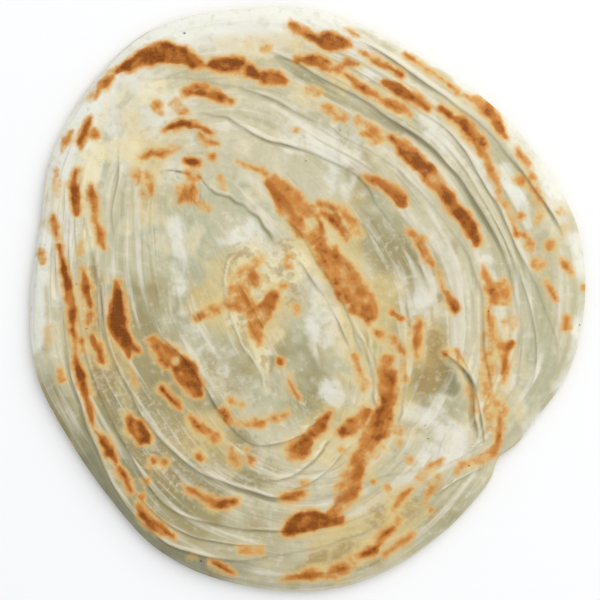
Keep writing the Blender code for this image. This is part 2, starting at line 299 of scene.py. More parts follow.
# Toasted marks, where the crowns of the folds touched the hot pan. Each has a tone, from 0 for a faint
# tan to 1 for the darkest brown, and a path of pixels in the photograph: across, down and width.
CHAR_UPPER_LEFT = (
    (1.0, (118, 73, 5), (130, 66, 12), (146, 58, 17), (165, 54, 22), (182, 57, 19), (196, 63, 12),
     (206, 68, 5)),
    (0.5, (98, 92, 5), (105, 86, 9), (112, 79, 6)),
    (0.1, (92, 99, 6), (97, 93, 6)),
    (0.85, (92, 118, 5), (87, 130, 9), (82, 143, 9), (82, 149, 4)),
    (0.35, (72, 132, 4), (68, 140, 8), (64, 149, 6)),
    (0.45, (95, 133, 7), (97, 139, 6)),
    (0.9, (77, 172, 4), (76, 185, 9), (76, 200, 9), (78, 214, 5)),
    (0.55, (92, 188, 5), (95, 205, 9), (97, 222, 10), (102, 238, 8), (106, 250, 4)),
    (0.2, (58, 170, 4), (57, 185, 5), (57, 195, 4)),
    (0.7, (188, 94, 11), (197, 91, 14), (208, 94, 13), (220, 99, 10), (232, 103, 7)),
    (0.35, (158, 107, 11)),
    (0.4, (161, 113, 6)),
    (0.25, (176, 105, 8), (181, 111, 9), (189, 114, 4)),
    (1.0, (174, 127, 8), (184, 125, 12), (192, 127, 8)),
    (0.6, (164, 130, 6), (174, 128, 8)),
    (0.5, (196, 127, 7), (204, 130, 9), (213, 135, 8)),
    (0.4, (200, 134, 6), (206, 143, 7), (219, 145, 7)),
    (0.45, (143, 158, 5), (153, 154, 8), (163, 156, 6), (172, 152, 7), (181, 150, 5)),
    (0.85, (186, 161, 8), (192, 163, 11), (200, 165, 7)),
    (0.35, (191, 174, 9), (197, 177, 8)),
    (0.6, (213, 158, 9)),
    (0.25, (137, 174, 6), (140, 182, 6)),
    (0.4, (149, 176, 5), (152, 186, 7), (152, 197, 5)),
    (0.55, (145, 195, 8)),
    (0.55, (180, 203, 9), (185, 195, 18), (191, 193, 16), (194, 200, 10)),
    (0.35, (198, 203, 5), (209, 208, 5)),
    (0.4, (221, 181, 8), (224, 190, 8)),
)
CHAR_LEFT = (
    (0.55, (54, 218, 7), (56, 228, 9), (58, 236, 6)),
    (0.9, (61, 247, 6), (64, 262, 8), (67, 277, 9), (70, 292, 9), (72, 307, 9), (74, 322, 8), (75, 335, 6)),
    (0.6, (76, 338, 7), (77, 352, 8), (78, 363, 7)),
    (0.55, (83, 340, 7), (84, 350, 7)),
    (0.95, (79, 366, 6), (83, 376, 8), (86, 388, 8), (88, 400, 7), (92, 415, 6), (95, 428, 4)),
    (0.4, (41, 250, 5), (44, 261, 6)),
    (0.35, (62, 368, 7), (62, 378, 7)),
    (0.25, (82, 244, 5), (81, 252, 5)),
    (0.6, (85, 270, 8), (88, 288, 12), (92, 304, 9)),
    (0.15, (50, 330, 6), (50, 342, 6)),
    (0.4, (92, 315, 10), (90, 325, 8)),
    (0.6, (93, 336, 9), (97, 348, 9)),
    (0.7, (99, 346, 9), (104, 360, 10)),
    (1.0, (118, 280, 5), (120, 292, 10), (119, 305, 17), (119, 320, 20), (122, 332, 18), (129, 343, 13),
     (131, 356, 4)),
    (1.0, (131, 344, 11), (139, 350, 9)),
    (0.6, (154, 340, 10), (160, 347, 16), (170, 356, 22)),
    (0.8, (178, 360, 20), (186, 370, 24), (193, 382, 22), (199, 391, 12)),
    (0.9, (163, 388, 9), (172, 398, 9), (180, 406, 7)),
    (0.25, (132, 367, 5), (136, 385, 5)),
    (0.65, (191, 417, 8), (203, 428, 12), (216, 437, 11)),
    (0.8, (200, 455, 9)),
    (1.0, (130, 418, 8), (137, 427, 18), (145, 436, 15), (150, 442, 6)),
    (0.9, (97, 431, 5), (104, 440, 11), (111, 451, 12), (118, 460, 7)),
    (0.85, (121, 468, 7), (127, 479, 8), (132, 490, 6)),
    (0.75, (154, 461, 9)),
    (0.6, (165, 463, 8)),
    (0.6, (148, 480, 9)),
    (0.7, (143, 496, 8)),
)
CHAR_BOTTOM = (
    (1.0, (141, 507, 9), (145, 514, 13), (154, 523, 14), (164, 530, 12), (173, 534, 7)),
    (0.75, (188, 487, 6), (203, 496, 11), (215, 502, 12), (228, 503, 10), (237, 499, 7)),
    (0.25, (192, 556, 5)),
    (0.7, (214, 562, 7), (222, 566, 10), (231, 571, 7)),
    (0.35, (242, 549, 8), (262, 549, 8)),
    (0.4, (232, 447, 6), (234, 456, 11), (238, 464, 8)),
    (0.4, (248, 449, 8), (253, 460, 9)),
    (0.65, (282, 495, 10), (290, 495, 13), (301, 492, 11)),
    (0.45, (303, 481, 8)),
    (0.95, (285, 531, 12), (293, 526, 21), (303, 521, 25), (312, 520, 24)),
    (0.75, (318, 520, 20), (328, 520, 14), (340, 518, 9)),
    (0.55, (283, 578, 4), (298, 575, 8), (311, 573, 12), (324, 574, 9), (334, 571, 14), (344, 567, 12)),
    (0.2, (350, 562, 12), (357, 556, 12)),
    (0.85, (364, 553, 10), (374, 549, 14), (378, 543, 10), (382, 535, 9), (391, 528, 9), (397, 520, 5)),
    (0.45, (384, 553, 7), (393, 547, 8), (402, 540, 8), (411, 533, 5)),
    (0.55, (393, 507, 5), (397, 500, 9), (404, 493, 9), (411, 488, 5)),
    (0.45, (418, 478, 5), (424, 473, 7), (431, 464, 5), (441, 458, 4)),
    (0.5, (437, 477, 4), (432, 484, 8), (428, 493, 9), (425, 500, 6)),
    (0.25, (430, 509, 6)),
    (0.3, (387, 487, 7)),
    (0.2, (398, 429, 10)),
    (0.25, (397, 442, 8)),
    (0.25, (409, 459, 8)),
    (0.5, (373, 481, 8)),
    (0.25, (374, 452, 10), (381, 446, 8)),
    (0.25, (342, 449, 6)),
)
CHAR_UPPER_RIGHT = (
    (0.75, (291, 26, 7), (300, 33, 10), (310, 37, 10), (320, 41, 14)),
    (0.75, (325, 42, 18), (333, 43, 19), (341, 44, 15), (348, 46, 8)),
    (0.35, (267, 49, 8)),
    (0.8, (213, 66, 10), (225, 66, 16), (240, 68, 18)),
    (0.75, (243, 70, 18), (250, 73, 16), (258, 78, 10), (265, 79, 14), (275, 79, 15), (283, 83, 8)),
    (0.55, (298, 62, 8), (308, 61, 11), (318, 63, 12), (328, 69, 12), (338, 69, 10), (347, 65, 10),
     (357, 66, 7)),
    (0.6, (346, 76, 4), (360, 88, 7), (375, 97, 9), (390, 105, 10), (401, 109, 9), (409, 116, 6)),
    (0.6, (362, 54, 5), (370, 60, 9), (380, 66, 9), (390, 70, 9), (400, 76, 7)),
    (0.8, (384, 84, 7), (396, 90, 10), (408, 97, 13), (418, 104, 11), (427, 110, 7)),
    (0.3, (310, 92, 8), (320, 93, 8)),
    (0.4, (326, 108, 9), (335, 114, 15), (344, 119, 9)),
    (0.4, (358, 123, 10), (367, 131, 17), (377, 140, 11)),
    (0.75, (391, 139, 8), (403, 149, 15), (414, 161, 18), (427, 173, 16), (438, 187, 14), (448, 200, 14)),
    (0.75, (448, 200, 14), (459, 215, 13), (469, 228, 15), (475, 242, 9)),
    (0.2, (296, 132, 8)),
    (0.3, (347, 31, 4), (358, 37, 4)),
    (0.35, (366, 178, 10), (376, 183, 13)),
    (0.65, (378, 184, 11), (389, 189, 13), (396, 194, 14), (402, 203, 11)),
    (0.45, (404, 55, 4), (423, 67, 5), (439, 78, 6), (457, 93, 6)),
    (0.6, (466, 97, 7), (479, 103, 12), (488, 112, 13), (497, 124, 12), (505, 138, 8)),
    (0.6, (441, 111, 8), (450, 116, 12)),
    (0.7, (456, 120, 13), (462, 124, 14), (473, 137, 15), (480, 149, 13), (485, 158, 7)),
    (0.4, (484, 158, 6), (490, 173, 8), (496, 190, 8), (501, 200, 9), (508, 212, 8), (516, 235, 6)),
    (0.3, (516, 150, 5), (524, 163, 8), (531, 180, 8), (537, 200, 7), (541, 215, 5)),
    (0.6, (519, 180, 11)),
    (0.35, (520, 217, 10)),
    (0.35, (536, 221, 9)),
    (0.35, (537, 204, 9)),
)
CHAR_RIGHT = (
    (0.6, (522, 236, 8), (528, 246, 11)),
    (0.6, (548, 246, 11)),
    (0.2, (559, 213, 7)),
    (0.2, (562, 229, 8)),
    (0.45, (536, 264, 13)),
    (0.6, (544, 283, 7), (549, 291, 6), (554, 299, 8)),
    (0.4, (562, 262, 8), (569, 273, 6)),
    (0.5, (566, 318, 7), (564, 326, 9)),
    (0.6, (583, 288, 6)),
    (0.5, (410, 232, 12), (418, 243, 13), (425, 256, 10), (432, 266, 8)),
    (0.45, (436, 271, 5), (441, 283, 5), (443, 292, 5)),
    (0.8, (446, 294, 8), (450, 302, 12), (454, 310, 9)),
    (0.65, (482, 267, 4), (485, 277, 8), (490, 289, 12), (494, 299, 11)),
    (0.4, (500, 285, 10), (505, 291, 10), (503, 299, 12)),
    (0.7, (487, 311, 6), (489, 322, 8), (491, 333, 9), (495, 343, 10), (502, 348, 15), (508, 344, 8)),
    (0.65, (503, 356, 10), (503, 368, 9), (502, 381, 5)),
    (0.25, (487, 335, 12), (486, 355, 13), (486, 380, 12), (488, 405, 10), (489, 425, 8)),
    (0.2, (509, 322, 16)),
    (0.25, (498, 402, 7), (502, 412, 8)),
    (0.65, (498, 418, 7), (498, 430, 9), (497, 441, 10), (493, 451, 9)),
    (0.3, (487, 455, 8), (477, 459, 9), (464, 464, 9), (456, 470, 6)),
    (0.55, (444, 354, 9)),
    (0.3, (456, 352, 7), (458, 360, 9)),
    (0.3, (468, 389, 7), (473, 400, 8), (474, 409, 5)),
    (0.4, (419, 322, 9), (416, 340, 9), (416, 356, 6)),
    (0.6, (392, 313, 10), (400, 318, 8)),
    (0.4, (392, 337, 9), (398, 346, 10), (404, 354, 6)),
    (0.3, (402, 366, 6), (404, 380, 5)),
)
CHAR_CENTRE = (
    (0.5, (238, 163, 4), (252, 168, 6), (266, 175, 9)),
    (0.45, (272, 182, 14), (281, 192, 24), (290, 203, 30)),
    (0.4, (302, 217, 32), (313, 231, 28)),
    (0.5, (276, 190, 7), (286, 204, 10), (300, 216, 8)),
    (0.75, (322, 214, 8), (332, 220, 12), (341, 229, 10), (345, 240, 8)),
    (0.9, (306, 234, 8), (314, 243, 11)),
    (0.5, (322, 248, 22), (331, 260, 27), (341, 274, 31), (351, 290, 33)),
    (0.5, (361, 303, 29), (370, 313, 20)),
    (0.7, (338, 266, 9), (349, 281, 12), (358, 296, 9)),
    (0.7, (345, 296, 8), (356, 308, 8)),
    (0.45, (320, 205, 8), (331, 208, 9), (343, 214, 10), (352, 223, 9), (357, 234, 7)),
    (0.3, (336, 216, 10), (348, 236, 8)),
    (0.8, (367, 320, 10)),
    (0.5, (378, 333, 13)),
    (0.75, (387, 360, 16), (388, 372, 20), (388, 386, 20), (388, 400, 18)),
    (0.6, (384, 412, 20), (376, 430, 24), (366, 446, 18), (358, 462, 16), (352, 476, 22)),
    (0.5, (352, 476, 22), (347, 490, 26), (340, 503, 16), (331, 514, 12)),
    (0.6, (329, 412, 10), (322, 422, 14), (313, 433, 15)),
    (0.7, (306, 441, 19), (299, 448, 25), (290, 452, 12)),
    (0.75, (341, 431, 12), (350, 425, 18), (358, 419, 16), (366, 410, 10)),
    (0.15, (262, 258, 8), (250, 270, 16), (243, 284, 24), (236, 298, 16)),
    (0.4, (253, 268, 12), (249, 280, 26), (242, 292, 26)),
    (0.35, (230, 304, 14), (240, 303, 18), (250, 300, 16)),
    (0.45, (274, 294, 12), (269, 306, 18), (259, 316, 24), (256, 330, 16), (259, 341, 9)),
    (0.6, (272, 298, 7), (266, 310, 6), (254, 322, 7), (257, 334, 6)),
    (0.35, (195, 318, 4), (208, 313, 10), (222, 309, 9)),
    (0.35, (289, 256, 6), (288, 264, 9)),
    (0.3, (283, 286, 8)),
    (0.3, (297, 309, 9)),
    (0.6, (280, 361, 7)),
    (0.3, (289, 376, 4), (293, 388, 6), (297, 398, 5)),
    (0.3, (355, 356, 5), (360, 370, 6), (364, 388, 6)),
    (0.95, (224, 412, 10), (227, 417, 8)),
    (0.55, (231, 420, 6), (244, 424, 6), (260, 422, 9), (273, 417, 7), (289, 413, 5)),
    (0.45, (232, 400, 7), (242, 404, 7)),
)
CHAR_MARKS = (*CHAR_UPPER_LEFT, *CHAR_LEFT, *CHAR_BOTTOM, *CHAR_UPPER_RIGHT, *CHAR_RIGHT, *CHAR_CENTRE)
# Pale islands inside the toasted marks, in pixels: across, down and width.
CHAR_HOLES = ((311, 224, 11), (333, 241, 13), (258, 294, 13), (505, 330, 9), (177, 362, 6), (181, 372, 4))
# Burnt specks of flour, in pixels: across and down, and the width of them all.
SPECKS = ((185, 34), (340, 132), (306, 161), (78, 285), (88, 329), (130, 460), (579, 325), (202, 560),
          (424, 424), (427, 438), (460, 437), (468, 465), (442, 505), (486, 209), (488, 311))
SPECK_SIZE = 2.6
# Marks of different tones blend over this many pixels where they meet. Past so many times that distance a
# mark counts no more or less.
TONE_SPREAD = 3.0
TONE_LIMIT = 60.0

# Kinds of dough. Each patch has its strength, and a path of pixels in the photograph: across, down and
# width. Its edge is as soft as this part of its width.
PATCH_SOFTNESS = 0.6
# Where the dough is thin and oily, so that it looks glassy and greenish.
GLASSY_PATCHES = (
    (0.8, (165, 215, 60), (195, 250, 80), (205, 290, 80), (205, 345, 60)),
    (0.6, (205, 205, 50), (235, 205, 50), (262, 225, 40)),
    (0.9, (295, 345, 70), (315, 385, 60), (300, 405, 40)),
    (0.7, (440, 400, 50)),
    (0.7, (245, 350, 50), (262, 385, 50)),
    (0.4, (135, 260, 26), (150, 300, 26), (165, 330, 26)),
    (0.6, (120, 395, 30), (150, 440, 34)),
    (0.5, (130, 95, 24), (120, 120, 24), (112, 160, 20), (116, 215, 20), (110, 260, 20)),
    (0.6, (350, 360, 40)),
    (1.0, (375, 225, 30), (392, 250, 44), (405, 285, 40)),
    (0.8, (355, 180, 24), (385, 215, 24), (440, 285, 30)),
    (0.6, (455, 190, 16), (480, 240, 16), (498, 270, 14)),
    (0.9, (515, 270, 24), (535, 320, 30), (542, 370, 30), (522, 420, 26)),
    (0.9, (50, 385, 30), (62, 405, 34), (72, 425, 24)),
    (0.5, (472, 470, 22), (463, 500, 26), (442, 528, 26), (415, 550, 16)),
    (0.6, (260, 30, 30), (200, 35, 30)),
)
# Where the dough is thick, floury and milk white.
MILKY_PATCHES = (
    (1.0, (150, 42, 30), (180, 32, 44), (250, 32, 50), (320, 26, 34), (375, 60, 20), (410, 88, 16)),
    (0.8, (410, 410, 20), (440, 420, 30), (460, 445, 24), (430, 460, 24)),
    (0.5, (240, 42, 24), (265, 42, 20)),
    (0.7, (245, 235, 36), (270, 250, 36)),
    (0.8, (315, 290, 24), (325, 320, 40), (335, 340, 30)),
    (0.9, (330, 388, 24), (336, 398, 22)),
    (0.6, (420, 300, 40), (430, 325, 34)),
    (0.8, (485, 262, 14), (503, 325, 12), (507, 385, 14)),
    (0.2, (215, 375, 40), (180, 320, 24)),
    (0.6, (176, 220, 14), (178, 250, 16), (182, 285, 16)),
    (0.9, (240, 232, 18), (248, 248, 14)),
    (0.8, (330, 318, 16), (342, 345, 22)),
    (0.6, (275, 335, 14), (270, 350, 10)),
    (0.6, (300, 130, 40), (340, 150, 40), (340, 180, 34)),
    (0.7, (370, 75, 14), (395, 55, 12), (430, 130, 20), (515, 200, 16)),
    (0.5, (60, 300, 20), (55, 230, 20)),
    (0.9, (150, 80, 24), (110, 80, 40), (90, 110, 50), (75, 160, 50), (60, 210, 40), (50, 260, 36)),
    (0.9, (130, 140, 50), (170, 110, 40)),
    (0.4, (150, 175, 50), (185, 150, 40)),
)
# Where a thin white film of dough lies over the rim.
FILM_PATCHES = (
    (0.9, (340, 12, 22), (400, 38, 20), (455, 72, 16), (490, 106, 14), (517, 138, 20), (541, 163, 28),
     (556, 188, 24)),
    (0.2, (556, 188, 24), (572, 212, 20)),
    (0.7, (505, 170, 16), (515, 195, 20), (526, 225, 12)),
    (0.6, (580, 240, 24), (584, 270, 26), (586, 300, 26), (580, 350, 26), (562, 400, 22)),
    (0.5, (562, 400, 22), (548, 415, 20), (525, 438, 14)),
    (0.9, (34, 340, 22), (34, 290, 28), (42, 240, 24)),
    (0.9, (56, 175, 28), (76, 122, 34), (105, 75, 28)),
    (0.8, (105, 75, 24), (150, 36, 34), (200, 20, 34), (250, 16, 30), (300, 16, 30), (345, 22, 20)),
)
# Where the dough has taken a creamy yellow from the pan.
CREAMY_PATCHES = (
    (0.5, (150, 150, 50), (160, 180, 50)),
    (0.6, (90, 290, 40), (100, 370, 40), (115, 430, 40)),
    (1.0, (240, 275, 60), (265, 310, 60), (225, 310, 50)),
    (0.6, (175, 420, 50), (215, 445, 40)),
    (0.3, (280, 430, 40), (330, 440, 40)),
    (0.3, (350, 540, 50), (400, 500, 50)),
    (0.5, (130, 120, 24)),
    (1.1, (325, 553, 40), (370, 532, 44), (397, 508, 44)),
    (0.5, (490, 300, 36), (495, 350, 36), (490, 420, 36)),
    (0.9, (450, 350, 12), (462, 368, 12), (472, 395, 12), (473, 420, 12)),
    (0.8, (420, 345, 44)),
    (0.2, (230, 60, 50), (300, 60, 50), (370, 85, 50), (440, 120, 40)),
    (0.6, (300, 250, 26), (330, 230, 60), (360, 300, 60), (385, 400, 50), (360, 460, 50)),
)
# Where it is thick and pale like butter.
BUTTERY_PATCHES = (
    (0.5, (100, 110, 30), (70, 150, 40), (58, 200, 40), (50, 250, 34), (44, 300, 20)),
    (0.8, (95, 150, 20), (88, 190, 18), (90, 240, 20)),
    (0.4, (150, 90, 24), (190, 82, 20), (130, 100, 30)),
    (0.2, (125, 150, 30), (120, 190, 24)),
    (0.9, (252, 262, 26), (238, 290, 22), (245, 310, 40), (285, 270, 40)),
    (0.3, (380, 100, 10), (420, 130, 10), (360, 70, 10)),
    (0.6, (250, 320, 16), (262, 355, 14), (268, 390, 12)),
)
# Where oil has soaked through the dough and made it khaki.
OILED_PATCHES = (
    (1.2, (100, 300, 26), (105, 340, 40), (114, 385, 56), (137, 435, 70), (165, 480, 76), (200, 500, 60)),
    (1.2, (125, 300, 30), (140, 370, 80), (170, 410, 90), (210, 450, 90), (245, 475, 40)),
    (0.7, (50, 400, 40), (70, 430, 40), (90, 470, 40)),
    (0.2, (180, 530, 60), (230, 530, 60), (290, 550, 50), (350, 540, 60)),
    (0.4, (400, 510, 60), (445, 500, 50)),
    (0.6, (395, 290, 40), (415, 340, 60), (430, 390, 50)),
    (0.6, (265, 330, 50), (290, 370, 60), (310, 395, 40)),
    (0.3, (170, 300, 50), (200, 330, 50), (240, 380, 50)),
    (0.9, (370, 220, 30), (372, 240, 40), (405, 270, 50)),
    (0.3, (345, 170, 30), (400, 240, 40), (450, 250, 30)),
)
# Where the underlying sheet is in shade and browned by oil.
SHADED_PATCHES = (
    (0.9, (98, 372, 12), (110, 398, 20), (122, 430, 14)),
    (0.8, (155, 480, 24), (190, 505, 24)),
    (0.9, (104, 385, 28), (118, 425, 28), (140, 465, 30)),
    (0.7, (160, 378, 26), (170, 402, 26)),
    (1.0, (430, 380, 26), (444, 378, 26), (452, 388, 18)),
    (0.5, (105, 330, 16), (112, 290, 14)),
    (0.6, (232, 482, 16), (258, 487, 16)),
        (0.5, (220, 572, 14), (270, 580, 14), (330, 582, 12)),
    (0.2, (345, 165, 14), (358, 180, 14), (368, 200, 14)),
    (0.8, (277, 61, 8), (300, 74, 13), (330, 94, 13), (360, 110, 11), (400, 133, 9)),
)
# Where the dough is toasted tan without a mark.
TANNED_PATCHES = (
    (1.1, (95, 270, 12), (100, 320, 26), (106, 362, 30), (104, 392, 20)),
    (0.7, (135, 445, 24), (155, 458, 36), (175, 480, 30)),
    (0.5, (185, 430, 40), (205, 455, 40)),
    (1.0, (416, 325, 20), (428, 340, 34), (432, 362, 40), (425, 382, 30)),
    (0.8, (246, 268, 20), (240, 290, 26), (234, 306, 16)),
    (0.7, (285, 250, 22), (288, 275, 26), (290, 300, 20)),
    (0.6, (262, 345, 12), (268, 370, 10)),
    (0.6, (488, 325, 14), (490, 380, 18), (488, 430, 14)),
    (0.7, (380, 515, 30), (405, 505, 30), (430, 490, 20)),
    (0.7, (245, 268, 44), (265, 300, 50), (250, 320, 40)),
    (0.5, (215, 360, 30), (225, 390, 30)),
    (0.9, (300, 568, 20), (345, 555, 34), (375, 556, 20)),
)
# Where fine pleats show as pale and dark lines: the pleats are stronger there, and painted highlight and
# painted shade draw their lines.
LINED_PATCHES = (
    (0.6, (70, 170, 30), (72, 240, 50), (85, 300, 60), (95, 370, 60), (110, 430, 60)),
    (0.4, (140, 200, 40), (145, 260, 50), (160, 320, 50)),
    (0.6, (150, 470, 60), (200, 510, 70), (270, 500, 60), (340, 480, 70)),
    (0.8, (180, 545, 30), (250, 575, 30)),
    (0.5, (180, 420, 50), (240, 460, 50), (300, 480, 50)),
    (0.8, (320, 60, 40), (390, 85, 50), (440, 130, 40), (490, 190, 50), (520, 260, 40)),
    (0.5, (330, 140, 40), (390, 180, 60), (440, 240, 60), (465, 300, 40)),
    (0.5, (490, 290, 50), (500, 350, 60), (500, 410, 50), (488, 450, 30)),
    (0.2, (440, 430, 60), (470, 440, 40)),
    (0.5, (400, 520, 60), (440, 490, 60), (350, 570, 40)),
    (0.7, (360, 340, 30), (370, 380, 30), (360, 420, 30)),
)
# Where the dough is crumbly, with pale flour and brown grains.
CRUMBLY_PATCHES = (
    (0.9, (120, 385, 40), (150, 430, 60), (190, 470, 60), (245, 490, 50)),
    (0.8, (85, 310, 26), (95, 350, 30), (110, 380, 34)),
    (0.8, (215, 375, 40), (245, 395, 36)),
    (0.7, (250, 450, 50), (285, 475, 40)),
    (0.6, (385, 240, 50), (400, 280, 50)),
    (0.5, (180, 140, 50), (190, 190, 50)),
    (0.5, (300, 410, 30), (400, 440, 50)),
)

# The kinds of dough, by the traits that the coats of colour read.
PATCHES = {"glassy": GLASSY_PATCHES, "milky": MILKY_PATCHES, "film": FILM_PATCHES, "creamy": CREAMY_PATCHES,
           "buttery": BUTTERY_PATCHES, "oiled": OILED_PATCHES, "shaded": SHADED_PATCHES,
           "tanned": TANNED_PATCHES, "lined": LINED_PATCHES, "crumbly": CRUMBLY_PATCHES}

# The underside isn't in the photograph. Its marks are of the same kind as those on top: how many there are,
# the shares at which they lie, lengths in millimetres, widths in pixels, tones, and how the width tapers
# along a mark.
UNDER_MARK_COUNT = 70
UNDER_MARK_SHARES = (0.05, 0.93)
UNDER_MARK_LENGTHS = (8.0, 34.0)
UNDER_MARK_WIDTHS = (8.0, 22.0)
UNDER_MARK_TONES = (0.4, 1.0)
UNDER_MARK_TAPER = (0.35, 0.8, 1.0, 0.9, 0.4)
# A grain along the coil is drawn out as if each turn of the coil had this radius.
COIL_STRETCH = 5.0
# How many points of the rim its middle is found from.
RIM_SAMPLES = 1441
# A place inside a mark's edge counts as up to this deep, and one outside as up to this far away.
CHAR_FAR = 6.0
# A mark's edge strays, and its tone varies: the size of the grain in millimetres, and how much. The grain
# repeats after this many of its bumps.
CHAR_STRAYS = ((4.2, 0.5), (2.0, 0.3), (1.1, 0.1))
CHAR_SHADES = ((5.0, 0.4), (2.4, 0.3))
CHAR_CELLS = 128
CHAR_SEED = 300
# Toasting is the depth inside a mark's edge. The faintest marks are toasted as if this much further out.
FAINT_INSET = 0.6
# However wide it is, a mark is toasted no more than at this depth, and at this much more for a full tone.
FAINT_LIMIT = -0.9
TONED_LIMIT = 2.6
# Browning starts this far outside a mark's edge, and reaches the mark's own tone within this width.
BROWNING_START = 0.6
BROWNING_WIDTH = 1.9
# Away from the creamy places, yellow shows as if this much further out.
YELLOW_INSET = 1.5
# The rim on the lower left turns down, away from the light, and gets painted shade, darkest beside the fold
# over it: middle and half of the arc, how wide its edge and its darkest part are, and how dark the rest is.
TURNED_DOWN_BEARING = 233.0
TURNED_DOWN_ARC = 32.0
TURNED_DOWN_EDGE = 1.0
TURNED_DOWN_WIDTH = 6.0
TURNED_DOWN_REST = 0.65
# The dough is smooth from the eye to the first of these shares, and drawn out in strands from the second.
WOUND_SHARES = (0.15, 0.55)

# Grains of the dough: size in millimetres, detail, and whether they lie evenly over the bread or are drawn
# out along the coil. The real specks of flour and fried crumbs are finer than the speckle, which is drawn as
# coarse as it needs to show.
DOUGH_GRAINS = {
    "speckle": (0.6, 2.0, "bread"),
    "freckle": (1.3, 3.0, "bread"),
    "edge": (2.4, 3.0, "bread"),
    "blotch": (5.0, 3.0, "bread"),
    "cloud": (12.0, 2.0, "bread"),
    "streak": (1.3, 3.0, "coil"),
    "strand": (3.5, 3.0, "coil"),
}
GRAIN_ROUGHNESS = 0.5
# Bumps of the skin: grain and depth in millimetres.
DOUGH_BUMPS = (("speckle", 0.04), ("freckle", 0.12), ("streak", 0.1), ("strand", 0.3), ("blotch", 0.25))

# The coats of colour, from the dough itself to the darkest burns. A coat shows where its trait, made ragged
# by a grain, is over low, and reaches its most at high. It favours the places where the grain is high, or
# low if the raggedness is negative.
DOUGH_COLOUR = "#d0c8a8"
Coat = namedtuple("Coat", "colour trait grain raggedness low high most")
DOUGH_COATS = (
    Coat("#b9b99a", "glassy", "cloud", 3.0, -0.1, 0.9, 0.75),
    Coat("#aca57c", "wound", "strand", -9.0, 1.0, 2.2, 0.4),
    Coat("#e9e5d3", "top", "cloud", 8.0, 1.1, 2.1, 0.5),
    Coat("#dccc98", "top", "cloud", 8.0, 1.2, 2.4, 0.5),
    Coat("#a19465", "oiled", "cloud", 3.0, -0.1, 0.9, 0.85),
    Coat("#eeecdf", "milky", "blotch", 2.6, 0.05, 0.95, 0.7),
    Coat("#eeeadb", "wound", "strand", 9.0, 1.1, 2.2, 0.5),
    Coat("#dec98f", "creamy", "cloud", 3.0, -0.1, 1.0, 0.7),
    Coat("#efe4bc", "buttery", "cloud", 2.0, 0.1, 0.8, 0.85),
    Coat("#938d66", "shaded", "strand", 2.0, 0.3, 1.0, 0.8),
    Coat("#aa8f58", "tanned", "edge", 3.0, 0.2, 1.1, 0.75),
    Coat("#eeeee2", "film", "cloud", 2.0, 0.1, 0.8, 0.85),
    Coat("#aaa37b", "top", "edge", -7.0, 1.2, 2.4, 0.2),
    Coat("#f2eee0", "top", "edge", 7.0, 1.2, 2.6, 0.25),
    Coat("#a48d60", "crumbly", "freckle", 5.0, 1.0, 2.2, 0.5),
    Coat("#b0a78e", "crumbly", "edge", -6.0, 1.0, 2.2, 0.5),
    Coat("#ece6d0", "crumbly", "freckle", 5.0, 0.7, 2.0, 0.4),
    # Painted shade and painted highlight along the lines of the fine pleats.
    Coat("#9f966c", "lined", "streak", -7.0, 0.9, 2.2, 0.4),
    Coat("#ede8d6", "lined", "streak", 7.0, 0.8, 2.4, 0.35),
    # Painted shade on the rim that turns down, away from the light, on the lower left.
    Coat("#85846a", "turned_down_shade", "blotch", 0.8, 0.1, 1.0, 0.85),
    Coat("#c8bd94", "under", "strand", 0.6, 0.3, 0.9, 0.8),
    # Painted shade at the foot of each thin sheet's edge, and painted highlight on its top.
    Coat("#9d946a", "foot", "strand", 2.0, 0.3, 1.1, 0.6),
    Coat("#e9e2cb", "crest", "strand", 2.0, 0.3, 1.1, 0.6),
    # Painted shade, with some oil, in the hollows beside the folds, in the underside's grooves and in the
    # seams of the rim's layers.
    Coat("#a59c77", "hollow", "strand", 1.4, 0.1, 0.7, 0.75),
    Coat("#8a8260", "hollow", "streak", 1.2, 0.6, 1.3, 0.85),
    # Painted highlight along the lips of the folds.
    Coat("#f0e7d0", "lip", "strand", 2.4, 0.15, 0.9, 0.75),
    # Painted highlight along the rims of the short edges.
    Coat("#efe6c9", "rim", "edge", 0.8, 0.15, 0.8, 0.7),
    Coat("#e2ca8e", "yellowing", "blotch", 7.0, -3.2, 0.4, 0.85),
    Coat("#deb674", "toasting", "edge", 3.5, -1.6, 0.3, 0.8),
    Coat("#d8a45c", "toasting", "edge", 2.6, -0.8, 0.5, 0.85),
    Coat("#ca833b", "browning", "edge", 1.2, 0.1, 0.6, 0.85),
    Coat("#b06821", "browning", "strand", 2.0, 0.3, 0.85, 0.85),
    Coat("#8a490f", "browning", "edge", 1.8, 0.56, 1.05, 0.85),
    Coat("#6c3a0c", "browning", "speckle", 1.4, 0.88, 1.35, 0.6),
    Coat("#2c1f14", "speck", "speckle", 1.0, -0.2, 0.3, 0.9),
)
# The sockets of a node that mixes colours.
MIX_AMOUNT = 0
MIX_FIRST = 6
MIX_SECOND = 7
MIX_RESULT = 2
# Cooking oil on the skin. Most of it has soaked in, so the gloss is weak.
OILED_IOR = 1.45
OILED_GLOSS = 0.18
# The skin is oily where the blotches of its grain are under the first of these values, and dry where they
# are over the second.
GLOSS_GRAIN = (0.35, 0.65)
OILY_ROUGHNESS = 0.42
DRY_ROUGHNESS = 0.65
# This part of the light sinks this far into the dough, in millimetres, and red light the furthest.
DOUGH_DEPTH_WEIGHT = 0.4
DOUGH_DEPTH = 1.5
DOUGH_DEPTH_SHADES = (1.0, 0.8, 0.5)

# The floor is a sheet of paper, this many metres wide.
PAPER_COLOUR = "#fdfdfc"
PAPER_ROUGHNESS = 0.9
FLOOR_SIDE = 4.0
# Each light: place and side in metres, power in watts, and colour.
LIGHTS = {
    "window_light": ((0.7, 0.75, 1.15), 1.6, 15.0, "#fffdf8"),
}
SKY_COLOUR = "#f7f9ff"
SKY_STRENGTH = 0.7
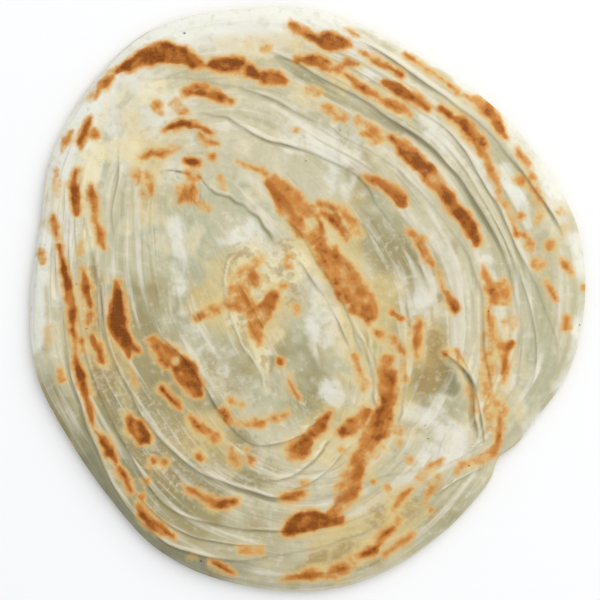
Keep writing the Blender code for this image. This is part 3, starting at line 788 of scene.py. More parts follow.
# The camera's lens and sensor, in millimetres.
LENS = 120.0
SENSOR_WIDTH = 36.0


def photo_place(places):
    """Where places on the bread, in millimetres from the middle, are in the photograph."""
    across = PHOTO_MIDDLE[0] + places[..., 0] / MM_PER_PIXEL
    down = PHOTO_MIDDLE[1] - places[..., 1] / MM_PER_PIXEL
    return np.stack([across, down], axis=-1)


def smooth(value):
    """A soft ramp from 0 to 1."""
    ramp = np.clip(value, 0.0, 1.0)
    return ramp * ramp * (3.0 - 2.0 * ramp)


def at_least(least, value):
    """A value from 0 to 1, brought between a least value and 1."""
    return least + (1.0 - least) * value


def turn_from(bearing, middle):
    """The turn from a middle bearing to others, between half a turn back and half a turn on."""
    half = FULL_TURN / 2.0
    return (bearing - middle + half) % FULL_TURN - half


def curve_through(values, position, closed):
    """A Catmull-Rom curve through even values, read at a position counted in values."""
    count = len(values)
    table = np.array(values)
    base = np.floor(position).astype(int)
    if not closed:
        base = np.clip(base, 0, count - 2)
    part = position - base
    around = []
    for offset in (-1, 0, 1, 2):
        index = base + offset
        index = index % count if closed else np.clip(index, 0, count - 1)
        around.append(table[index])
    before, start, end, after = around
    slope = end - before
    bend = 2.0 * before - 5.0 * start + 4.0 * end - after
    twist = 3.0 * (start - end) + after - before
    return start + 0.5 * part * (slope + part * (bend + part * twist))


def grain(across, turns, cells, seed):
    """Soft seeded unevenness from -1 to 1. Cells is how many bumps there are in one turn of the coil."""
    values = np.random.default_rng(seed).uniform(-1.0, 1.0, (GRAIN_ROWS, cells))
    along = (turns % 1.0) * cells
    row = np.floor(across).astype(int)
    column = np.floor(along).astype(int)
    row_part = smooth(across - row)
    column_part = smooth(along - column)
    low = values[row % GRAIN_ROWS, column % cells]
    low_next = values[row % GRAIN_ROWS, (column + 1) % cells]
    high = values[(row + 1) % GRAIN_ROWS, column % cells]
    high_next = values[(row + 1) % GRAIN_ROWS, (column + 1) % cells]
    near = low + (low_next - low) * column_part
    far = high + (high_next - high) * column_part
    return near + (far - near) * row_part


def ring_grain(bearing, cells, seed):
    """Soft seeded unevenness on the way round the bread, the same from the eye to the rim."""
    return grain(np.zeros_like(bearing), bearing / FULL_TURN, cells, seed)


def rim_point(bearing):
    """Points of the rim, which is the bread's outline from above."""
    position = (bearing % FULL_TURN) / FULL_TURN * len(RIM_RADII)
    radius = curve_through(RIM_RADII, position, True)
    radius = radius - NOTCH_DEPTH * np.exp(-(turn_from(bearing, NOTCH_BEARING) / NOTCH_WIDTH) ** 2)
    turn = np.radians(bearing)
    return np.stack([radius * np.cos(turn), radius * np.sin(turn)], axis=-1)


def eye_point(bearing):
    """Points of the narrow oval round which the dough is coiled."""
    along = np.radians(EYE_BEARING)
    turn = np.radians(bearing - EYE_BEARING)
    long_axis = np.array([np.cos(along), np.sin(along)]) * EYE_HALF_LENGTH
    short_axis = np.array([-np.sin(along), np.cos(along)]) * EYE_HALF_WIDTH
    return np.array(EYE_CENTRE) + np.cos(turn)[..., None] * long_axis + np.sin(turn)[..., None] * short_axis


def coil_point(share, bearing):
    """A place on the bread seen from above."""
    eye = eye_point(bearing)
    return eye + share[..., None] * (rim_point(bearing) - eye)


def reach(bearing):
    """The distance from the eye to the rim at a bearing."""
    return np.linalg.norm(rim_point(bearing) - eye_point(bearing), axis=-1)


def outward(bearing):
    """The direction from the eye to the rim at a bearing."""
    return (rim_point(bearing) - eye_point(bearing)) / reach(bearing)[..., None]


def fold_course(fold, bearing):
    """How far along a fold bearings are, in degrees, and as a part of its length."""
    length = fold.last - fold.first
    along = turn_from(bearing, (fold.first + fold.last) / 2.0) + length / 2.0
    return along, np.clip(along / length, 0.0, 1.0)


def fold_line(name, bearing):
    """The share at which a fold runs, with its small wanderings, and how it fades away at its ends."""
    fold = FOLDS[name]
    along, part = fold_course(fold, bearing)
    fade = smooth(along / FOLD_FADE) * smooth((fold.last - fold.first - along) / FOLD_FADE)
    wander = ring_grain(bearing, WANDER_CELLS, list(FOLDS).index(name)) * fold.width * FOLD_WANDER
    line = curve_through(fold.shares, part * (len(fold.shares) - 1), False)
    return line + wander / reach(bearing), fade


def fold_strength(name, bearing):
    """The part of its full height that a fold has. It swells and sinks on the way."""
    fold = FOLDS[name]
    position = fold_course(fold, bearing)[1] * (len(fold.strengths) - 1)
    seed = list(FOLDS).index(name) + SWELL_SEED
    swell = SWELL_MIDDLE + SWELL_RANGE * ring_grain(bearing, SWELL_CELLS, seed)
    return np.maximum(curve_through(fold.strengths, position, False), 0.0) * swell


def lip_and_hollow(distance, rise, hollow, width):
    """The height beside an edge, and how far the edge pushes the dough sideways.

    Distance is counted along the dough, and is positive on the raised side.
    """
    lip = rise * np.exp(-np.maximum(distance, 0.0) / LIP_REACH)
    past_floor = np.maximum(-distance - HOLLOW_FLOOR * hollow, 0.0)
    bank = HOLLOW_BANK * smooth(1.0 - past_floor / HOLLOW_BANK_WIDTH)
    groove = -hollow * (bank + (1.0 - HOLLOW_BANK) * np.exp(-past_floor / HOLLOW_REACH))
    spread = np.array(FOLD_ALONG)
    climb = np.interp(distance / width, spread, FOLD_CLIMB)
    steep = min(1.0, (rise + hollow) / STEEP_HEIGHT) * width
    shift = np.interp(distance / width, spread, np.array(FOLD_ACROSS) - spread) * steep
    return groove + (lip - groove) * climb, shift


def relief(share, bearing):
    """What the folds do to the dough: height, push towards the rim, oil and painted shade in the hollows,
    and painted highlight on the lips.
    """
    height = np.zeros_like(share)
    push = np.zeros_like(share)
    hollow = np.zeros_like(share)
    lip = np.zeros_like(share)
    far = reach(bearing)
    for name, fold in FOLDS.items():
        line, fade = fold_line(name, bearing)
        strength = fade * fold_strength(name, bearing)
        distance = (share - line) * far * fold.high_side
        lift, shift = lip_and_hollow(distance, fold.rise, fold.hollow, fold.width)
        height += strength * lift
        push += strength * shift * fold.high_side
        # The hollow beside each fold gets painted shade, with some oil, in a band that climbs a little way
        # up the wall.
        oil_and_shade = smooth((distance + OIL_AND_SHADE_WIDTH + OIL_AND_SHADE_SPREAD * fold.hollow) / OIL_AND_SHADE_SOFTNESS + 0.5)
        below = oil_and_shade * smooth((OIL_AND_SHADE_EDGE - distance) / OIL_AND_SHADE_EDGE_SOFTNESS + 0.5)
        hollow = np.maximum(hollow, strength * below * at_least(OIL_AND_SHADE_LEAST, fold.hollow))
        # The lips of the folds get a painted highlight.
        edge = np.exp(-np.abs(distance - LIP_MIDDLE * fold.width) / LIP_SPREAD)
        lip = np.maximum(lip, strength * edge * at_least(LIP_LEAST, fold.rise))
    return height, push, hollow, lip


def edge_distance(edge, place):
    """The distance to a short edge, positive on its raised side, and how it fades away at its ends."""
    nearest = np.full(place.shape[:-1], np.inf)
    signed = np.zeros(place.shape[:-1])
    travelled = np.zeros(place.shape[:-1])
    length = 0.0
    points = np.array(edge.points)
    for start, end in zip(points[:-1], points[1:]):
        run = end - start
        offset = place - start
        part = np.clip(offset @ run / (run @ run), 0.0, 1.0)
        apart = np.linalg.norm(offset - part[..., None] * run, axis=-1)
        left = np.sign(run[0] * offset[..., 1] - run[1] * offset[..., 0])
        closer = apart < nearest
        signed = np.where(closer, left * apart, signed)
        travelled = np.where(closer, length + part * np.linalg.norm(run), travelled)
        nearest = np.where(closer, apart, nearest)
        length = length + np.linalg.norm(run)
    return signed, smooth(travelled / EDGE_FADE) * smooth((length - travelled) / EDGE_FADE)


def edge_relief(place):
    """The height that the short edges add or take away, and how much painted highlight each place gets from
    their rims.
    """
    height = np.zeros(place.shape[:-1])
    rim = np.zeros(place.shape[:-1])
    for edge in EDGES.values():
        signed, strength = edge_distance(edge, place)
        lip = edge.rise * np.exp(-np.maximum(signed, 0.0) / LIP_REACH)
        groove = -edge.hollow * np.exp(np.minimum(signed, 0.0) / HOLLOW_REACH)
        height += strength * (groove + (lip - groove) * smooth(signed / EDGE_WIDTH + 0.5))
        line = np.exp(-((signed - EDGE_WIDTH / 2.0) / EDGE_RIM) ** 2)
        rim = np.maximum(rim, strength * line * edge.paleness)
    return height, rim


def dent_relief(place):
    """The height that broad dents take away."""
    spot = photo_place(place)
    height = np.zeros(place.shape[:-1])
    for depth, *points in DENTS:
        points = np.array(points, dtype=float)
        half_width = points[:, 2].max() / 2.0
        height -= depth * smooth(path_depth(points, spot) / half_width)
    return height


def plan_grain(points, layers, first_seed):
    """Grains of several sizes together, which lie evenly over the bread: each has its size and amount."""
    total = np.zeros(len(points))
    for seed, (size, amount) in enumerate(layers, first_seed):
        total += amount * grain(points[:, 1] / size, points[:, 0] / (size * CHAR_CELLS), CHAR_CELLS, seed)
    return total


def layered_grain(across, turns, layers, first_seed):
    """Grains of several sizes together: each has its size across the coil, number in a turn, and amount."""
    total = np.zeros_like(across)
    for seed, (size, cells, amount) in enumerate(layers, first_seed):
        total += amount * grain(across / size, turns, cells, seed)
    return total


def pleats(lane_place, bearing, lined):
    """The height of overlapping thin sheets, and how near points are to the top or foot of their edges,
    which get painted highlight and painted shade.
    """
    turns = bearing / FULL_TURN
    facing = np.cos(np.radians(bearing - PLEAT_SIDE_BEARING)) * PLEAT_SIDE_CHANGE
    facing = np.clip(facing, -1.0, 1.0)
    stray = PLEAT_WANDER * grain(lane_place / PLEAT_PATCH, turns, PLEAT_CELLS, PLEAT_SEED)
    part = (lane_place / PLEAT_WIDTH + stray) % 1.0
    part = np.where(facing > 0.0, part, 1.0 - part)
    shown = grain(lane_place / PLEAT_PATCH, turns, PLEAT_PATCH_CELLS, PLEAT_SEED + 1)
    shown = smooth(shown + PLEAT_SHARE) * np.abs(facing) * at_least(PLEAT_LEAST, lined)
    height = shown * PLEAT_HEIGHT * (smooth(part / PLEAT_SLOPE) - 0.5 - part)
    # The tops of the sheets' edges get painted highlight, and their feet painted shade.
    crest = shown * np.exp(-((part - PLEAT_SLOPE) / PLEAT_LINE) ** 2)
    foot = shown * np.exp(-(np.minimum(part, 1.0 - part) / PLEAT_LINE) ** 2)
    return height, crest, foot


def top_surface(share, bearing, lane_place):
    """Points of the upper surface, with the hollow and lip of each, and the crest and foot of its pleats."""
    far = reach(bearing)
    from_rim = (1.0 - share) * far
    place = coil_point(share, bearing)
    height, push, hollow, lip = relief(share, bearing)
    lined = np.maximum(patch_amount(LINED_PATCHES, photo_place(place)), 0.0)
    tiled, crest, foot = pleats(lane_place, bearing, lined)
    height += tiled + edge_relief(place)[0] + dent_relief(place)
    height += layered_grain(share * far, bearing / FULL_TURN, DOUGH_WAVES, WAVE_SEED)
    calm = smooth(from_rim / RELIEF_MARGIN)
    body = CROWN_HEIGHT + (SHOULDER_HEIGHT - CROWN_HEIGHT) * share ** 2
    slope = 1.0 - np.clip(from_rim / TOP_ROUNDING, 0.0, 1.0)
    height = RIM_HEIGHT + (body + height * calm - RIM_HEIGHT) * np.sqrt(1.0 - slope ** 2)
    plan = place + outward(bearing) * (push * calm)[..., None]
    return np.dstack([plan, height]), hollow * calm, lip * calm, crest * calm, foot * calm


def under_surface(share, bearing):
    """Points of the lower surface, which curls up to the rim, and rests flat within it."""
    far = reach(bearing)
    from_rim = (1.0 - share) * far
    slope = 1.0 - np.clip(from_rim / UNDER_ROUNDING, 0.0, 1.0)
    height = RIM_HEIGHT * (1.0 - np.sqrt(1.0 - slope ** 2))
    turns = bearing / FULL_TURN
    across = share * far / UNDER_PLEAT
    pleat = (across + turns + UNDER_STRAY * grain(across, turns, UNDER_STRAY_CELLS, UNDER_SEED)) % 1.0
    groove = np.exp(-(np.minimum(pleat, 1.0 - pleat) * UNDER_PLEAT / UNDER_GROOVE_WIDTH) ** 2)
    groove *= 0.5 + 0.5 * grain(across, turns, UNDER_DEPTH_CELLS, UNDER_SEED + 1)
    inner = smooth((from_rim - UNDER_ROUNDING / 2.0) / UNDER_ROUNDING)
    height += inner * UNDER_GROOVE_DEPTH * groove
    return np.dstack([coil_point(share, bearing), height]), groove * inner


def layered_side(points, bearing, share):
    """The rim with the edges of its thin layers, each a little further in or out than the next."""
    height = points[..., 2]
    layer = height / LAYER_THICKNESS + ring_grain(bearing, LAYER_CELLS, LAYER_SEED) * LAYER_STRAY
    row = np.floor(layer) * LAYER_GRAIN_STEP
    inset = LAYER_INSET * (0.5 - 0.5 * grain(row, bearing / FULL_TURN, LAYER_CELLS, LAYER_SEED + 1))
    seam = np.abs(layer - np.round(layer)) * LAYER_THICKNESS
    inset += LAYER_SEAM_DEPTH * np.exp(-(seam / LAYER_SEAM_WIDTH) ** 2)
    near = smooth(1.0 - (1.0 - share) * reach(bearing) / LAYER_MARGIN)
    moved = points.copy()
    moved[..., :2] -= outward(bearing) * (inset * near)[..., None]
    return moved, inset * near


def lane_lines(bearings):
    """The share of each lane's middle at each bearing, how firmly a fold holds it, and that fold's width.

    A lane follows its folds. Elsewhere it settles softly between the lanes and the bearings beside it.
    """
    count = len(bearings)
    far = reach(bearings)[:, None]
    outer = 1.0 - RIM_STEPS[0] / far
    line = (np.arange(LANE_COUNT)[None] + 0.5) / LANE_COUNT * outer
    target = np.zeros((count, LANE_COUNT))
    hold = np.zeros((count, LANE_COUNT))
    width = np.ones((count, LANE_COUNT))
    for name, fold in FOLDS.items():
        share, fade = fold_line(name, bearings)
        here = fade > 0.0
        target[here, fold.lane] = share[here]
        hold[here, fold.lane] = fade[here]
        width[here, fold.lane] = fold.width
    pin = PIN_STIFFNESS * hold ** PIN_FADE
    inner = np.zeros((count, 1))
    for _ in range(SETTLING_SWEEPS):
        padded = np.concatenate([inner - line[:, :1], line, 2.0 * outer - line[:, -1:]], axis=1)
        chain = padded[:, :-2] + padded[:, 2:]
        beside = np.roll(line, 1, axis=0) + np.roll(line, -1, axis=0)
        line = (chain + SIDE_STIFFNESS * beside + pin * target) / (2.0 + 2.0 * SIDE_STIFFNESS + pin)
        line = apart_lanes(line, LEAST_LANE / far, outer)
    return line, hold, width


def apart_lanes(line, least, outer):
    """The lanes, moved where they are too close to the one before or after."""
    steps = least * np.arange(1, LANE_COUNT + 1)[None]
    line = np.maximum.accumulate(np.maximum(line - steps, 0.0), axis=1) + steps
    limit = outer - least * np.arange(LANE_COUNT, 0, -1)[None]
    return np.minimum(line, limit)


def top_shares(bearings):
    """The share of each row at each bearing. Rows are even between lanes, but draw together at each fold."""
    far = reach(bearings)[:, None]
    line, held, width = lane_lines(bearings)
    outer = 1.0 - RIM_STEPS[0] / far
    edge = np.concatenate([np.zeros_like(outer), (line[:, 1:] + line[:, :-1]) / 2.0, outer], axis=1)
    drawn = smooth(held * FOLD_DRAW)
    shares = np.zeros((len(bearings), LANE_COUNT * LANE_ROWS))
    half = LANE_ROWS // 2
    for side, room in ((-1, line - edge[:, :-1]), (1, edge[:, 1:] - line)):
        furthest = FOLD_ALONG[-1] * width / far
        fit = np.minimum(1.0, FOLD_ROOM * room / furthest) / far * width
        for step in range(half + 1):
            even = room * step / half
            close = FOLD_ALONG[FOLD_MIDDLE + step] * fit if step < half else even
            close = np.maximum(close, even * LAST_ROW_ROOM) if step == half - 1 else close
            offset = even + (close - even) * drawn
            rows = np.arange(LANE_COUNT) * LANE_ROWS + half + side * step
            inside = rows < LANE_COUNT * LANE_ROWS
            shares[:, rows[inside]] = (line + side * offset)[:, inside]
    return np.concatenate([shares, 1.0 - np.array(RIM_STEPS)[None] / far], axis=1)


def stroke_depth(strokes, place):
    """How far inside the listed strokes places are, in pixels, and the tone there."""
    best = np.full(place.shape[:-1], -np.inf)
    weight = np.zeros(place.shape[:-1])
    toned = np.zeros(place.shape[:-1])
    for tone, *points in strokes:
        depth = path_depth(np.array(points, dtype=float), place)
        best = np.maximum(best, depth)
        near = np.exp(np.clip(depth / TONE_SPREAD, -TONE_LIMIT, TONE_LIMIT))
        weight += near
        toned += near * tone
    return best, toned / weight


def path_depth(points, place):
    """How far inside one stroke places are: across, down and width are given at each of its points."""
    if len(points) == 1:
        points = np.repeat(points, 2, axis=0)
    best = np.full(place.shape[:-1], -np.inf)
    for start, end in zip(points[:-1], points[1:]):
        run = end[:2] - start[:2]
        offset = place - start[:2]
        part = np.clip(offset @ run / max(run @ run, 1.0), 0.0, 1.0)
        apart = np.linalg.norm(offset - part[..., None] * run, axis=-1)
        half_width = (start[2] + (end[2] - start[2]) * part) / 2.0
        best = np.maximum(best, half_width - apart)
    return best


def patch_amount(patches, place):
    """How strongly soft-edged patches cover places, from 1 down to -1 well outside them all."""
    amount = np.full(place.shape[:-1], -1.0)
    for strength, *points in patches:
        points = np.array(points, dtype=float)
        ramp = path_depth(points, place) / (points[:, 2].mean() * PATCH_SOFTNESS) + 0.5
        amount = np.maximum(amount, strength * smooth(ramp) + np.minimum(ramp, 0.0))
    return amount


def underside_marks():
    """Toasted marks for the side that isn't in the photograph, drawn out along the coil as on top."""
    chance = np.random.default_rng(UNDER_SEED)
    marks = []
    for _ in range(UNDER_MARK_COUNT):
        share = chance.uniform(*UNDER_MARK_SHARES)
        bearing = chance.uniform(0.0, FULL_TURN)
        length = chance.uniform(*UNDER_MARK_LENGTHS)
        width = chance.uniform(*UNDER_MARK_WIDTHS)
        turn = np.degrees(length / (share * reach(np.array([bearing]))[0] + EYE_HALF_WIDTH))
        bearings = bearing + np.linspace(-turn / 2.0, turn / 2.0, len(UNDER_MARK_TAPER))
        places = photo_place(coil_point(np.full(len(bearings), share), bearings))
        widths = width * np.array(UNDER_MARK_TAPER)
        marks.append((chance.uniform(*UNDER_MARK_TONES), *np.column_stack([places, widths])))
    return marks


def eye_columns(ring, strips, relieved):
    """Points in strips across the eye, between the two long sides of a ring."""
    half = BEARING_COUNT // 2
    right = ring[1:half, None]
    left = ring[:half:-1, None]
    part = (np.arange(1, strips) / strips)[None, :, None]
    inner = right + (left - right) * part
    if relieved:
        first, last = (edge_relief(side[..., :2])[0] for side in (right, left))
        inner[..., 2] += edge_relief(inner[..., :2])[0] - first - (last - first) * part[..., 0]
    return inner


def strip_faces(ring, inner, first):
    """Faces across the eye. Ring has its points by index, and first is the index of the first inner one."""
    half = BEARING_COUNT // 2
    strips = inner.shape[1] + 1
    columns = [[int(ring[0])] * (strips + 1)]
    for turn in range(1, half):
        start = first + (turn - 1) * (strips - 1)
        columns.append([int(ring[turn]), *range(start, start + strips - 1), int(ring[-turn])])
    columns.append([int(ring[half])] * (strips + 1))
    faces = []
    for here, there in zip(columns[:-1], columns[1:]):
        for side in range(strips):
            corners = (here[side], there[side], there[side + 1], here[side + 1])
            faces.append(tuple(dict.fromkeys(corners)))
    return faces


def ring_faces(rows):
    """Faces between the rings of points, from the eye over the top, round the rim and back to the eye."""
    turns = np.arange(BEARING_COUNT)[:, None]
    row = np.arange(rows - 1)[None]
    here = turns * rows + row
    there = (turns + 1) % BEARING_COUNT * rows + row
    return np.stack([here, here + 1, there + 1, there], axis=-1).reshape(-1, 4).tolist()


def bread_rows(bearings):
    """The share of each row at each bearing: of the top, from the eye out, and of the underside, back in."""
    rim_rows = 1.0 - np.array(UNDER_STEPS)[None] / reach(bearings)[:, None]
    flat_rows = rim_rows[:, -1:] * np.linspace(1.0, 0.0, UNDER_ROWS + 1)[None, 1:]
    return top_shares(bearings), np.concatenate([rim_rows, flat_rows], axis=1)


def turned_down_shade(share, bearing):
    """How much painted shade the rim gets where it turns down, away from the light, on the lower left."""
    from_arc = np.abs(turn_from(bearing, TURNED_DOWN_BEARING))
    arc = smooth((TURNED_DOWN_ARC - from_arc) / TURNED_DOWN_ARC * 2.0)
    beyond = (share - fold_line("skirt_fold", bearing)[0]) * reach(bearing)
    darkness = 1.0 - (1.0 - TURNED_DOWN_REST) * smooth(beyond / TURNED_DOWN_WIDTH)
    return arc * smooth(beyond / TURNED_DOWN_EDGE + 0.5) * darkness


def bread_shape():
    """The bread's points, faces, and what the dough is like at each point."""
    bearings = EYE_BEARING + np.arange(BEARING_COUNT) * FULL_TURN / BEARING_COUNT
    upper, lower = bread_rows(bearings)
    share = np.concatenate([upper, lower], axis=1)
    around = np.repeat(bearings[:, None], share.shape[1], axis=1)
    top_rows = upper.shape[1]
    coil_out = share * COIL_REACH
    lane_place = (np.arange(share.shape[1])[None] * ROW_WIDTH + coil_out) / 2.0
    top, hollow, *looks = top_surface(upper, around[:, :top_rows], lane_place[:, :top_rows])
    under, groove = under_surface(lower, around[:, top_rows:])
    points, inset = layered_side(np.concatenate([top, under], axis=1), around, share)
    none = np.zeros_like(groove)
    traits = {name: np.concatenate([values, none], axis=1)
              for name, values in zip(("lip", "crest", "foot"), looks)}
    # The fold hollows, the underside's grooves and the seams of the rim's layers get painted shade, with
    # some oil.
    traits["hollow"] = np.concatenate([hollow, groove], axis=1) + SEAM_OIL_AND_SHADE * inset
    traits["under"] = np.concatenate([np.zeros_like(hollow), np.ones_like(groove)], axis=1)
    traits["coil_out"] = coil_out
    traits["coil_across"] = np.cos(np.radians(around)) * COIL_STRETCH
    traits["coil_up"] = np.sin(np.radians(around)) * COIL_STRETCH
    # The rim turned down on the lower left gets painted shade.
    traits["turned_down_shade"] = turned_down_shade(share, around)
    first, last = WOUND_SHARES
    traits["wound"] = smooth((share - first) / (last - first)) * (1.0 - traits["turned_down_shade"])
    return close_eye(points, traits, top_rows)


def close_eye(points, traits, top_rows):
    """The rings of points with the eye filled in above and below."""
    rows = points.shape[1]
    faces = ring_faces(rows)
    index = np.arange(BEARING_COUNT) * rows
    count = BEARING_COUNT * rows
    above = eye_columns(points[:, 0], EYE_STRIPS, True)
    faces += strip_faces(index, above, count)
    below = eye_columns(points[:, -1], UNDER_EYE_STRIPS, False)
    below_faces = strip_faces(index + rows - 1, below, count + above[..., 0].size)
    faces += [tuple(reversed(face)) for face in below_faces]
    all_points = np.concatenate([part.reshape(-1, 3) for part in (points, above, below)])
    all_traits = {}
    for name, values in traits.items():
        extra = [eye_columns(values[:, row, None], strips, False).reshape(-1)
                 for row, strips in ((0, EYE_STRIPS), (-1, UNDER_EYE_STRIPS))]
        all_traits[name] = np.concatenate([values.reshape(-1), *extra])
    return all_points, faces, all_traits


def toasted_places(points, place, under):
    """How far inside a toasted mark's edge each point is, in millimetres, and the mark's tone there."""
    depth = np.zeros(len(points))
    tone = np.zeros(len(points))
    depth[~under], tone[~under] = stroke_depth(CHAR_MARKS, place[~under])
    for across, down, width in CHAR_HOLES:
        apart = np.linalg.norm(place - np.array([across, down]), axis=-1)
        depth[~under] = np.minimum(depth, apart - width / 2.0)[~under]
    depth[under], tone[under] = stroke_depth(underside_marks(), place[under])
    tone *= 1.0 + plan_grain(points, CHAR_SHADES, CHAR_SEED + len(CHAR_STRAYS))
    stray = plan_grain(points, CHAR_STRAYS, CHAR_SEED)
    return np.clip(depth * MM_PER_PIXEL + stray, -CHAR_FAR, CHAR_FAR), tone


def surface_traits(points, traits):
    """Adds the toasting and the kinds of dough that the photograph shows at each point."""
    place = photo_place(points[:, :2])
    under = traits["under"] > 0.5
    depth, tone = toasted_places(points, place, under)
    traits["toasting"] = np.minimum(depth - FAINT_INSET * (1.0 - tone), FAINT_LIMIT + TONED_LIMIT * tone)
    from_start = depth + BROWNING_START
    traits["browning"] = tone * smooth(from_start / BROWNING_WIDTH) + np.minimum(from_start, 0.0)
    traits["top"] = 1.0 - traits["under"]
    # The rims of the short edges get a painted highlight.
    traits["rim"] = edge_relief(points[:, :2])[1] * traits["top"]
    for name, patches in PATCHES.items():
        traits[name] = np.where(under, -1.0, patch_amount(patches, place))
    traits["yellowing"] = traits["toasting"] - YELLOW_INSET * (1.0 - np.maximum(traits["creamy"], 0.0))
    speck_depth = stroke_depth([(1.0, (across, down, SPECK_SIZE)) for across, down in SPECKS], place)[0]
    traits["speck"] = np.clip(speck_depth * MM_PER_PIXEL, -CHAR_FAR, CHAR_FAR) - traits["under"]
    return traits


def write_trait(mesh, name, kind, field, values):
    """Keeps what the dough is like at each point in the mesh, for the material."""
    layer = mesh.attributes.new(name, kind, "POINT")
    layer.data.foreach_set(field, values.astype(np.float32).ravel())


def make_bread():
    """The whole bread, as one closed mesh with the traits of its dough."""
    points, faces, traits = bread_shape()
    traits = surface_traits(points, traits)
    rim = rim_point(np.linspace(0.0, FULL_TURN, RIM_SAMPLES))
    middle = (rim.min(axis=0) + rim.max(axis=0)) / 2.0
    moved = (points - np.array([*middle, 0.0])) * METRES_PER_MM
    mesh = bpy.data.meshes.new("parotta_bread")
    mesh.from_pydata(moved.tolist(), [], faces)
    mesh.shade_smooth()
    coil = np.stack([traits.pop(name) for name in ("coil_out", "coil_across", "coil_up")], axis=-1)
    write_trait(mesh, "coil_place", "FLOAT_VECTOR", "vector", coil)
    for name, values in traits.items():
        write_trait(mesh, name, "FLOAT", "value", values)
    bread = bpy.data.objects.new("parotta_bread", mesh)
    bpy.context.collection.objects.link(bread)
    return bread, middle


def linear(shade):
    """A colour written as #rrggbb, as the light it stands for."""
    parts = [int(shade[start:start + 2], 16) / 255.0 for start in (1, 3, 5)]
    light = [part / 12.92 if part <= 0.04045 else ((part + 0.055) / 1.055) ** 2.4 for part in parts]
    return (*light, 1.0)


def add(tree, kind, inputs, **settings):
    """A new node with its settings. Its inputs are values, or the sockets that feed them."""
    node = tree.nodes.new(kind)
    for name, value in settings.items():
        setattr(node, name, value)
    for socket, value in inputs.items():
        if isinstance(value, bpy.types.NodeSocket):
            tree.links.new(value, node.inputs[socket])
        else:
            node.inputs[socket].default_value = value
    return node


def dough_grains(tree):
    """The grains of the dough, as far as each is up at a place."""
    coordinates = add(tree, "ShaderNodeTexCoord", {}).outputs["Object"]
    inputs = {0: coordinates, "Scale": MM_PER_METRE}
    millimetres = add(tree, "ShaderNodeVectorMath", inputs, operation="SCALE").outputs[0]
    along = add(tree, "ShaderNodeAttribute", {}, attribute_name="coil_place").outputs["Vector"]
    places = {"bread": millimetres, "coil": along}
    grains = {}
    for name, (size, detail, space) in DOUGH_GRAINS.items():
        inputs = {"Vector": places[space], "Scale": 1.0 / size, "Detail": detail,
                  "Roughness": GRAIN_ROUGHNESS}
        grains[name] = add(tree, "ShaderNodeTexNoise", inputs).outputs["Fac"]
    return grains


def coated(tree, coat, grains, colour):
    """A colour with one more coat over it, as ragged as its grain makes it."""
    value = add(tree, "ShaderNodeAttribute", {}, attribute_name=coat.trait).outputs["Fac"]
    inputs = {0: grains[coat.grain], 1: coat.raggedness, 2: value}
    ragged = add(tree, "ShaderNodeMath", inputs, operation="MULTIPLY_ADD").outputs[0]
    middle = coat.raggedness / 2.0
    inputs = {"Value": ragged, "From Min": coat.low + middle, "From Max": coat.high + middle,
              "To Min": 0.0, "To Max": coat.most}
    amount = add(tree, "ShaderNodeMapRange", inputs, interpolation_type="SMOOTHSTEP").outputs["Result"]
    inputs = {MIX_AMOUNT: amount, MIX_FIRST: colour, MIX_SECOND: linear(coat.colour)}
    return add(tree, "ShaderNodeMix", inputs, data_type="RGBA").outputs[MIX_RESULT]


def dough_skin(tree, grains):
    """The way that the skin faces, with its bumps."""
    facing = None
    for name, depth in DOUGH_BUMPS:
        inputs = {"Height": grains[name], "Distance": depth * METRES_PER_MM, "Strength": 1.0}
        if facing:
            inputs["Normal"] = facing
        facing = add(tree, "ShaderNodeBump", inputs).outputs["Normal"]
    return facing


def fried_dough():
    """Wheat dough, oiled, pleated and pan fried: milky and floury where thick, glassy and green where thin.

    The hollows are brown, partly from oil and partly with painted shade, and the lips, pleat tops and edge
    rims are paler with painted highlight. The rim turned down on the lower left has painted shade. The
    crowns that touched the pan have freckled brown marks with a soft yellow edge. The oil gives the skin a
    soft, broken gloss, and light sinks a little way into the dough.
    """
    material = bpy.data.materials.new("fried_dough")
    material.use_nodes = True
    tree = material.node_tree
    shader = tree.nodes["Principled BSDF"]
    grains = dough_grains(tree)
    colour = linear(DOUGH_COLOUR)
    for coat in DOUGH_COATS:
        colour = coated(tree, coat, grains, colour)
    tree.links.new(colour, shader.inputs["Base Color"])
    gloss = {"Value": grains["blotch"], "From Min": GLOSS_GRAIN[0], "From Max": GLOSS_GRAIN[1],
             "To Min": OILY_ROUGHNESS, "To Max": DRY_ROUGHNESS}
    tree.links.new(add(tree, "ShaderNodeMapRange", gloss).outputs["Result"], shader.inputs["Roughness"])
    tree.links.new(dough_skin(tree, grains), shader.inputs["Normal"])
    settings = {"IOR": OILED_IOR, "Specular IOR Level": OILED_GLOSS, "Metallic": 0.0,
                "Subsurface Weight": DOUGH_DEPTH_WEIGHT, "Subsurface Radius": DOUGH_DEPTH_SHADES,
                "Subsurface Scale": DOUGH_DEPTH * METRES_PER_MM}
    for socket, value in settings.items():
        shader.inputs[socket].default_value = value
    return material


def paper():
    """Matt white paper, which gives no gloss under the bread."""
    material = bpy.data.materials.new("matt_paper")
    material.use_nodes = True
    shader = material.node_tree.nodes["Principled BSDF"]
    shader.inputs["Base Color"].default_value = linear(PAPER_COLOUR)
    shader.inputs["Roughness"].default_value = PAPER_ROUGHNESS
    return material


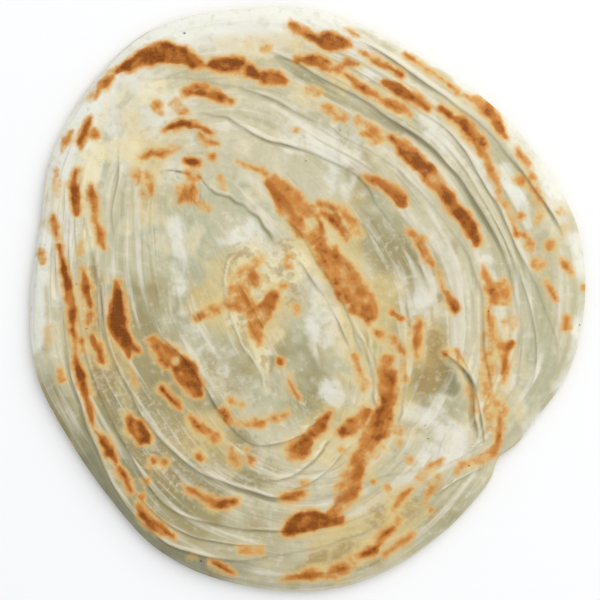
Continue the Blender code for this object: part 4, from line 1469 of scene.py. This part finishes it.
def make_floor():
    """The pale floor under the bread."""
    side = FLOOR_SIDE / 2.0
    corners = [(-side, -side, 0.0), (side, -side, 0.0), (side, side, 0.0), (-side, side, 0.0)]
    mesh = bpy.data.meshes.new("floor")
    mesh.from_pydata(corners, [], [(0, 1, 2, 3)])
    mesh.materials.append(paper())
    floor = bpy.data.objects.new("floor", mesh)
    bpy.context.collection.objects.link(floor)


def make_light(name, place, side, power, colour):
    """A square soft light that faces the bread."""
    lamp = bpy.data.lights.new(name, "AREA")
    lamp.shape = "SQUARE"
    lamp.size = side
    lamp.energy = power
    lamp.color = linear(colour)[:3]
    light = bpy.data.objects.new(name, lamp)
    light.location = place
    light.rotation_euler = Vector(place).to_track_quat("Z", "Y").to_euler()
    bpy.context.collection.objects.link(light)


def make_lighting():
    """A soft studio: one broad light from the upper right of the photograph, and pale surroundings."""
    for name, (place, side, power, colour) in LIGHTS.items():
        make_light(name, place, side, power, colour)
    world = bpy.data.worlds.new("studio")
    world.use_nodes = True
    sky = world.node_tree.nodes["Background"]
    sky.inputs["Color"].default_value = linear(SKY_COLOUR)
    sky.inputs["Strength"].default_value = SKY_STRENGTH
    bpy.context.scene.world = world


def make_camera(middle):
    """A camera straight above, which frames the bread as the photograph does."""
    lens = bpy.data.cameras.new("camera")
    lens.lens = LENS
    lens.sensor_width = SENSOR_WIDTH
    camera = bpy.data.objects.new("camera", lens)
    width = PHOTO_SIDE * MM_PER_PIXEL
    height = width * LENS / SENSOR_WIDTH + RIM_HEIGHT
    across = (PHOTO_SIDE / 2.0 - PHOTO_MIDDLE[0]) * MM_PER_PIXEL - middle[0]
    up = (PHOTO_MIDDLE[1] - PHOTO_SIDE / 2.0) * MM_PER_PIXEL - middle[1]
    camera.location = Vector((across, up, height)) * METRES_PER_MM
    bpy.context.collection.objects.link(camera)
    bpy.context.scene.camera = camera


bread, bread_middle = make_bread()
bread.data.materials.append(fried_dough())
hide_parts("parotta")
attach(bread, "root")
make_floor()
make_lighting()
make_camera(bread_middle)
bpy.context.scene.view_settings.view_transform = "Standard"
